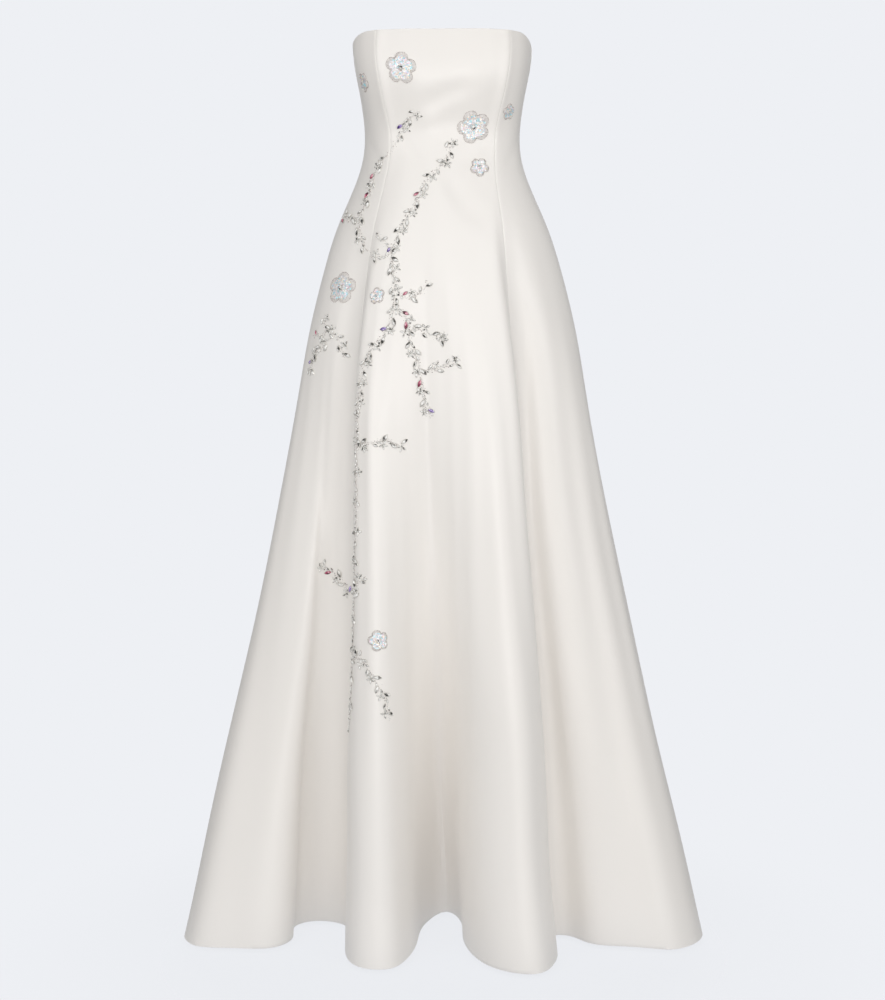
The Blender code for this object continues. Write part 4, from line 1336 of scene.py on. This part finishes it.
def blossom_point(seat, radius, reach, angle, lift):
    """A point over a blossom, at a share of the way out to its edge."""
    out = reach * radius * float(petal_edge(angle))
    share, level = seat.moved(out * math.cos(angle), out * math.sin(angle))
    return Seat(share, level, seat.turn + angle), lift + float(petal_height(reach, angle))


def blossom_base(sewing, seat, radius):
    """The padded petals under the sequins."""
    middle, lift = blossom_point(seat, radius, 0, 0, PETAL_MIDDLE_LIFT)
    points = [middle.point + middle.normal * lift]
    for ring in range(1, PETAL_RINGS + 1):
        reach = ring / PETAL_RINGS
        for i in range(PETAL_SIDES):
            angle = FULL_TURN * i / PETAL_SIDES
            place, lift = blossom_point(seat, radius, reach, angle, PETAL_LIFT)
            above = -PETAL_UNDER if ring == PETAL_RINGS else lift
            points.append(place.point + place.normal * above)
    points.append(middle.point - middle.normal * PETAL_UNDER)
    faces = faces_between_poles(PETAL_SIDES, PETAL_RINGS)
    turned_over = [(face[0], *face[:0:-1]) for face in faces]
    sewing.add(Pattern(points, turned_over), (np.eye(3), np.zeros(3)), tone=0.5)


def fill_blossom(blossom, base, sequins, beads, stones):
    """Sequins at the heart, beaded quills along the petals, and beads round their edge."""
    seat, radius = BLOSSOM_SEATS[blossom.name], blossom.radius
    blossom_base(base, seat, radius)
    dice = sequins.dice
    rings = max(2, int(radius * SEQUIN_REACH / SEQUIN_SPACING))
    for ring in range(1, rings + 1):
        reach = SEQUIN_REACH * (ring + SEQUIN_INNER) / (rings + SEQUIN_INNER)
        around = FULL_TURN * reach * radius * SEQUIN_CROWDING
        count = max(FEWEST_SEQUINS, int(around / SEQUIN_SPACING))
        for i in range(count):
            angle = FULL_TURN * (i + dice.uniform(-SEQUIN_SHIFT, SEQUIN_SHIFT)) / count
            place, lift = blossom_point(seat, radius, reach, angle, SEQUIN_LIFT)
            tilt = any_tilt(dice)
            size = dice.uniform(*SEQUIN_SIZE)
            sequins.add(SEQUIN, place.matrix(size, lift, tilt), tone=dice.uniform(0, 1))
    add_quills(seat, radius, beads)
    add_outline(seat, radius, beads)
    add_heart(seat, radius, beads, stones)


def add_quills(seat, radius, beads):
    """Lines of tiny beads that fan out along each petal from the sequins to its edge."""
    size = QUILL_BEAD_RADIUS / OUTLINE_BEAD_RADIUS
    length = radius * (QUILL_END - QUILL_START)
    count = max(2, int(length / (QUILL_BEAD_RADIUS * QUILL_GAP)))
    for petal in range(PETALS):
        for quill in range(QUILLS):
            across = (quill + 0.5) / QUILLS - 0.5
            angle = FULL_TURN * (petal + across * QUILL_SPREAD) / PETALS
            for i in range(count):
                reach = QUILL_START + (QUILL_END - QUILL_START) * (i + 0.5) / count
                place, lift = blossom_point(seat, radius, reach, angle, QUILL_BEAD_RADIUS)
                tone = beads.dice.uniform(*QUILL_TONE)
                beads.add(OUTLINE_BEAD, place.matrix(size, lift), tone=tone)


def add_outline(seat, radius, beads):
    """Beads round the edge of a blossom, at even steps along it."""
    edge = np.linspace(0, FULL_TURN, OUTLINE_SAMPLES)
    out = radius * petal_edge(edge)
    way = distances(np.stack([out * np.cos(edge), out * np.sin(edge)], axis=-1))
    count = int(way[-1] / (OUTLINE_BEAD_RADIUS * OUTLINE_GAP))
    for angle in np.interp(np.arange(count) * way[-1] / count, way, edge):
        place, _ = blossom_point(seat, radius, 1.0, angle, 0)
        size = beads.dice.uniform(*OUTLINE_SIZE)
        tone = beads.dice.uniform(*OUTLINE_TONE)
        matrix = place.matrix(size, OUTLINE_BEAD_RADIUS * BEAD_SUNK)
        beads.add(OUTLINE_BEAD, matrix, tone=tone)


def add_heart(seat, radius, beads, stones):
    """The round stone at the heart of a blossom, and the beads round it."""
    size = radius * HEART_STONE
    matrix = seat.matrix(size / CLUSTER_STONE, HEART_LIFT)
    stones.add(ROUND_STONE, matrix, depth=HEART_PAINTED_SHADE)
    gap = OUTLINE_BEAD_RADIUS * HEART_GAP
    count = int(FULL_TURN * (size + OUTLINE_BEAD_RADIUS) * HEART_RING / gap)
    for i in range(count):
        angle = FULL_TURN * i / count
        reach = (size * HEART_RING + OUTLINE_BEAD_RADIUS) / radius / float(petal_edge(angle))
        place, lift = blossom_point(seat, radius, reach, angle, OUTLINE_BEAD_RADIUS)
        beads.add(OUTLINE_BEAD, place.matrix(lift=lift + HEART_BEAD_LIFT))


LEAF_STONE = cut_stone(
    leaf_outline(LEAF_HALF_LENGTH * LEAF_IN_CUP, LEAF_HALF_WIDTH * LEAF_IN_CUP, LEAF_SIDES),
    LEAF_RISE,
)
SMALL_LEAF = cut_stone(
    leaf_outline(SMALL_LEAF_HALF_LENGTH, SMALL_LEAF_HALF_WIDTH, SMALL_LEAF_SIDES),
    SMALL_LEAF_RISE,
)
ROUND_STONE = cut_stone(round_outline(CLUSTER_STONE), CLUSTER_STONE_RISE)
STEM_BEAD = round_bead(BEAD_RADIUS, sides=7)
OUTLINE_BEAD = round_bead(OUTLINE_BEAD_RADIUS, sides=6)
SEQUIN = sequin_disc(SEQUIN_RADIUS)


def tinted_leaves(leaves):
    """The finish of each leaf that is not clear, by its number."""
    points = np.array([leaf.point for leaf in leaves])
    finishes = {}
    for finish, places in TINTS.items():
        for share, level in places:
            place, _ = CLOTH.at(share, level)
            nearest = np.argsort(np.linalg.norm(points - place, axis=1))
            leaf = next(int(i) for i in nearest if int(i) not in finishes)
            finishes[leaf] = finish
    return finishes


def add_cluster(seat, stones):
    """A small flower of narrow stones round a round one, with a petal missing here and there."""
    dice = stones.dice
    middle = seat.matrix(dice.uniform(*CLUSTER_STONE_SIZE))
    stones.add(ROUND_STONE, middle, depth=dice.uniform(*CLUSTER_STONE_PAINTED_SHADE))
    turn = dice.uniform(0, FULL_TURN)
    count = dice.integers(*CLUSTER_PETALS)
    for i in range(count):
        angle = turn + FULL_TURN * i / count
        out = dice.uniform(*CLUSTER_PETAL_OUT)
        place = seat.moved(out * math.cos(angle), out * math.sin(angle))
        twist = dice.uniform(-CLUSTER_PETAL_TURN, CLUSTER_PETAL_TURN)
        petal = Seat(*place, seat.turn + angle + twist)
        tilt = any_tilt(dice)
        matrix = petal.matrix(dice.uniform(*CLUSTER_PETAL_SIZE), SMALL_STONE_LIFT, tilt)
        stones.add(SMALL_LEAF, matrix, depth=dice.uniform(*CLUSTER_PETAL_PAINTED_SHADE))


def add_small_leaves(stem, taken, stones, dice):
    """Small stones that lean out beside a stem, with one left out here and there."""
    lean = math.radians(SMALL_LEAF_LEAN_DEGREES)
    small = []
    for _, stalk in along_stem(stem, SMALL_LEAF_SPACING):
        side = 1 if dice.uniform() < 0.5 else -1
        place = stalk.moved(0, side * dice.uniform(*SMALL_LEAF_OFFSET))
        leaf = Seat(*place, stalk.turn + side * lean * dice.uniform(*SMALL_LEAF_LEAN))
        missing = dice.uniform() < SMALL_LEAF_MISSING
        if missing or not clear_of_seams(leaf, SMALL_LEAF_HALF_LENGTH):
            continue
        if clear_of_blossoms(leaf, 0) and apart(leaf, taken, SMALL_LEAF_FROM_STONE):
            tilt = any_tilt(dice)
            matrix = leaf.matrix(dice.uniform(*SMALL_LEAF_SIZE), SMALL_STONE_LIFT, tilt)
            # Small stones take painted shade of any depth on their dark side
            stones.add(SMALL_LEAF, matrix, depth=dice.uniform(0, 1))
            small.append(leaf)
    return small


def add_stem(stem, taken, stones, beads):
    """Beads that wander along a stem, small stones beside them, and loose beads further out."""
    dice = beads.dice
    small = add_small_leaves(stem, taken, stones, dice)
    for i, stalk in along_stem(stem, BEAD_SPACING):
        offsets = [dice.normal(0, BEAD_WANDER)]
        if i % 2:
            offsets.append(dice.uniform(-1, 1) * LOOSE_BEAD_REACH)
        for offset in offsets:
            seat = Seat(*stalk.moved(0, offset), stalk.turn)
            size = dice.uniform(*BEAD_SIZE)
            off_seams = clear_of_seams(seat, BEAD_RADIUS - CLEAR_OF_SEAM)
            off_stones = apart(seat, taken, BEAD_FROM_STONE)
            off_leaves = apart(seat, small, BEAD_FROM_SMALL_LEAF)
            if off_seams and off_stones and off_leaves and clear_of_blossoms(seat, 0):
                matrix = seat.matrix(size, BEAD_RADIUS * size * BEAD_SUNK)
                beads.add(STEM_BEAD, matrix, tone=dice.uniform(*BEAD_TONE))


# Sewn pieces in the order of their seeds: finishes, slot, and whether their faces are smooth
Sewn = namedtuple("Sewn", "key name finishes slot smooth")
SEWN = (
    Sewn("crystal", "crystal_leaves", ("crystal", "setting"), "crystal", False),
    Sewn("ruby", "ruby_leaves", ("ruby", "setting"), "coloured_crystal", False),
    Sewn("violet", "violet_leaves", ("violet", "setting"), "coloured_crystal", False),
    Sewn("stones", "round_stones", ("crystal", "setting"), "crystal", False),
    Sewn("stems", "stem_beads", ("bead",), "bead", True),
    Sewn("base", "blossom_petals", ("thread",), "thread", True),
    Sewn("sequins", "blossom_sequins", ("sequin",), "sequin", False),
    Sewn("edges", "blossom_beads", ("bead",), "bead", True),
)


def add_embroidery():
    """Crystal leaves, stone clusters, beaded stems and sequinned blossoms."""
    sewing = {sewn.key: Sewing(STONE_SEED + i) for i, sewn in enumerate(SEWN)}
    leaves, free = leaf_seats()
    finishes = tinted_leaves(leaves)
    for i, leaf in enumerate(leaves):
        choice = sewing[finishes.get(i, "crystal")]
        dice = choice.dice
        leaf = Seat(leaf.share, leaf.level, leaf.turn + dice.uniform(-LEAF_TURN, LEAF_TURN))
        tilt = any_tilt(dice)
        matrix = leaf.matrix(dice.uniform(*LEAF_SIZE), LEAF_LIFT, tilt)
        choice.add(LEAF_STONE, matrix, depth=dice.uniform(*LEAF_PAINTED_SHADE))
    clusters = []
    for seat in free:
        fits = has_room(seat, CLUSTER_REACH) and apart(seat, leaves, CLUSTER_REACH)
        if fits and apart(seat, clusters, CLUSTER_SPACING):
            clusters.append(seat)
            add_cluster(seat, sewing["stones"])
    for stem in STEMS:
        add_stem(stem, leaves + clusters, sewing["stones"], sewing["stems"])
    for blossom in BLOSSOMS:
        fill_blossom(blossom, sewing["base"], sewing["sequins"], sewing["edges"],
                     sewing["stones"])
    pieces = []
    for sewn in SEWN:
        materials = [MATERIALS[finish] for finish in sewn.finishes]
        angle = math.radians(ROUND_SMOOTH_DEGREES) if sewn.smooth else None
        pieces.append(sewing[sewn.key].finish(sewn.name, materials, sewn.slot, angle))
    return pieces


def finish_zip():
    """The frame's own slider and pull tab, in plated metal."""
    for name in ("zip_slider", "zip_pull"):
        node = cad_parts[name]
        for slot in node.material_slots:
            slot.material = MATERIALS["zip"]


def main():
    bpy.context.scene.view_settings.view_transform = "Standard"
    add_camera()
    add_world()
    add_lights()
    add_floor()
    gores = add_gores(MATERIALS["satin"])
    embroidery = add_embroidery()
    finish_zip()
    boxes = {"cad": CAD_BOX, "visual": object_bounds()}
    {name: [list(corner) for corner in box] for name, box in boxes.items()}


main()
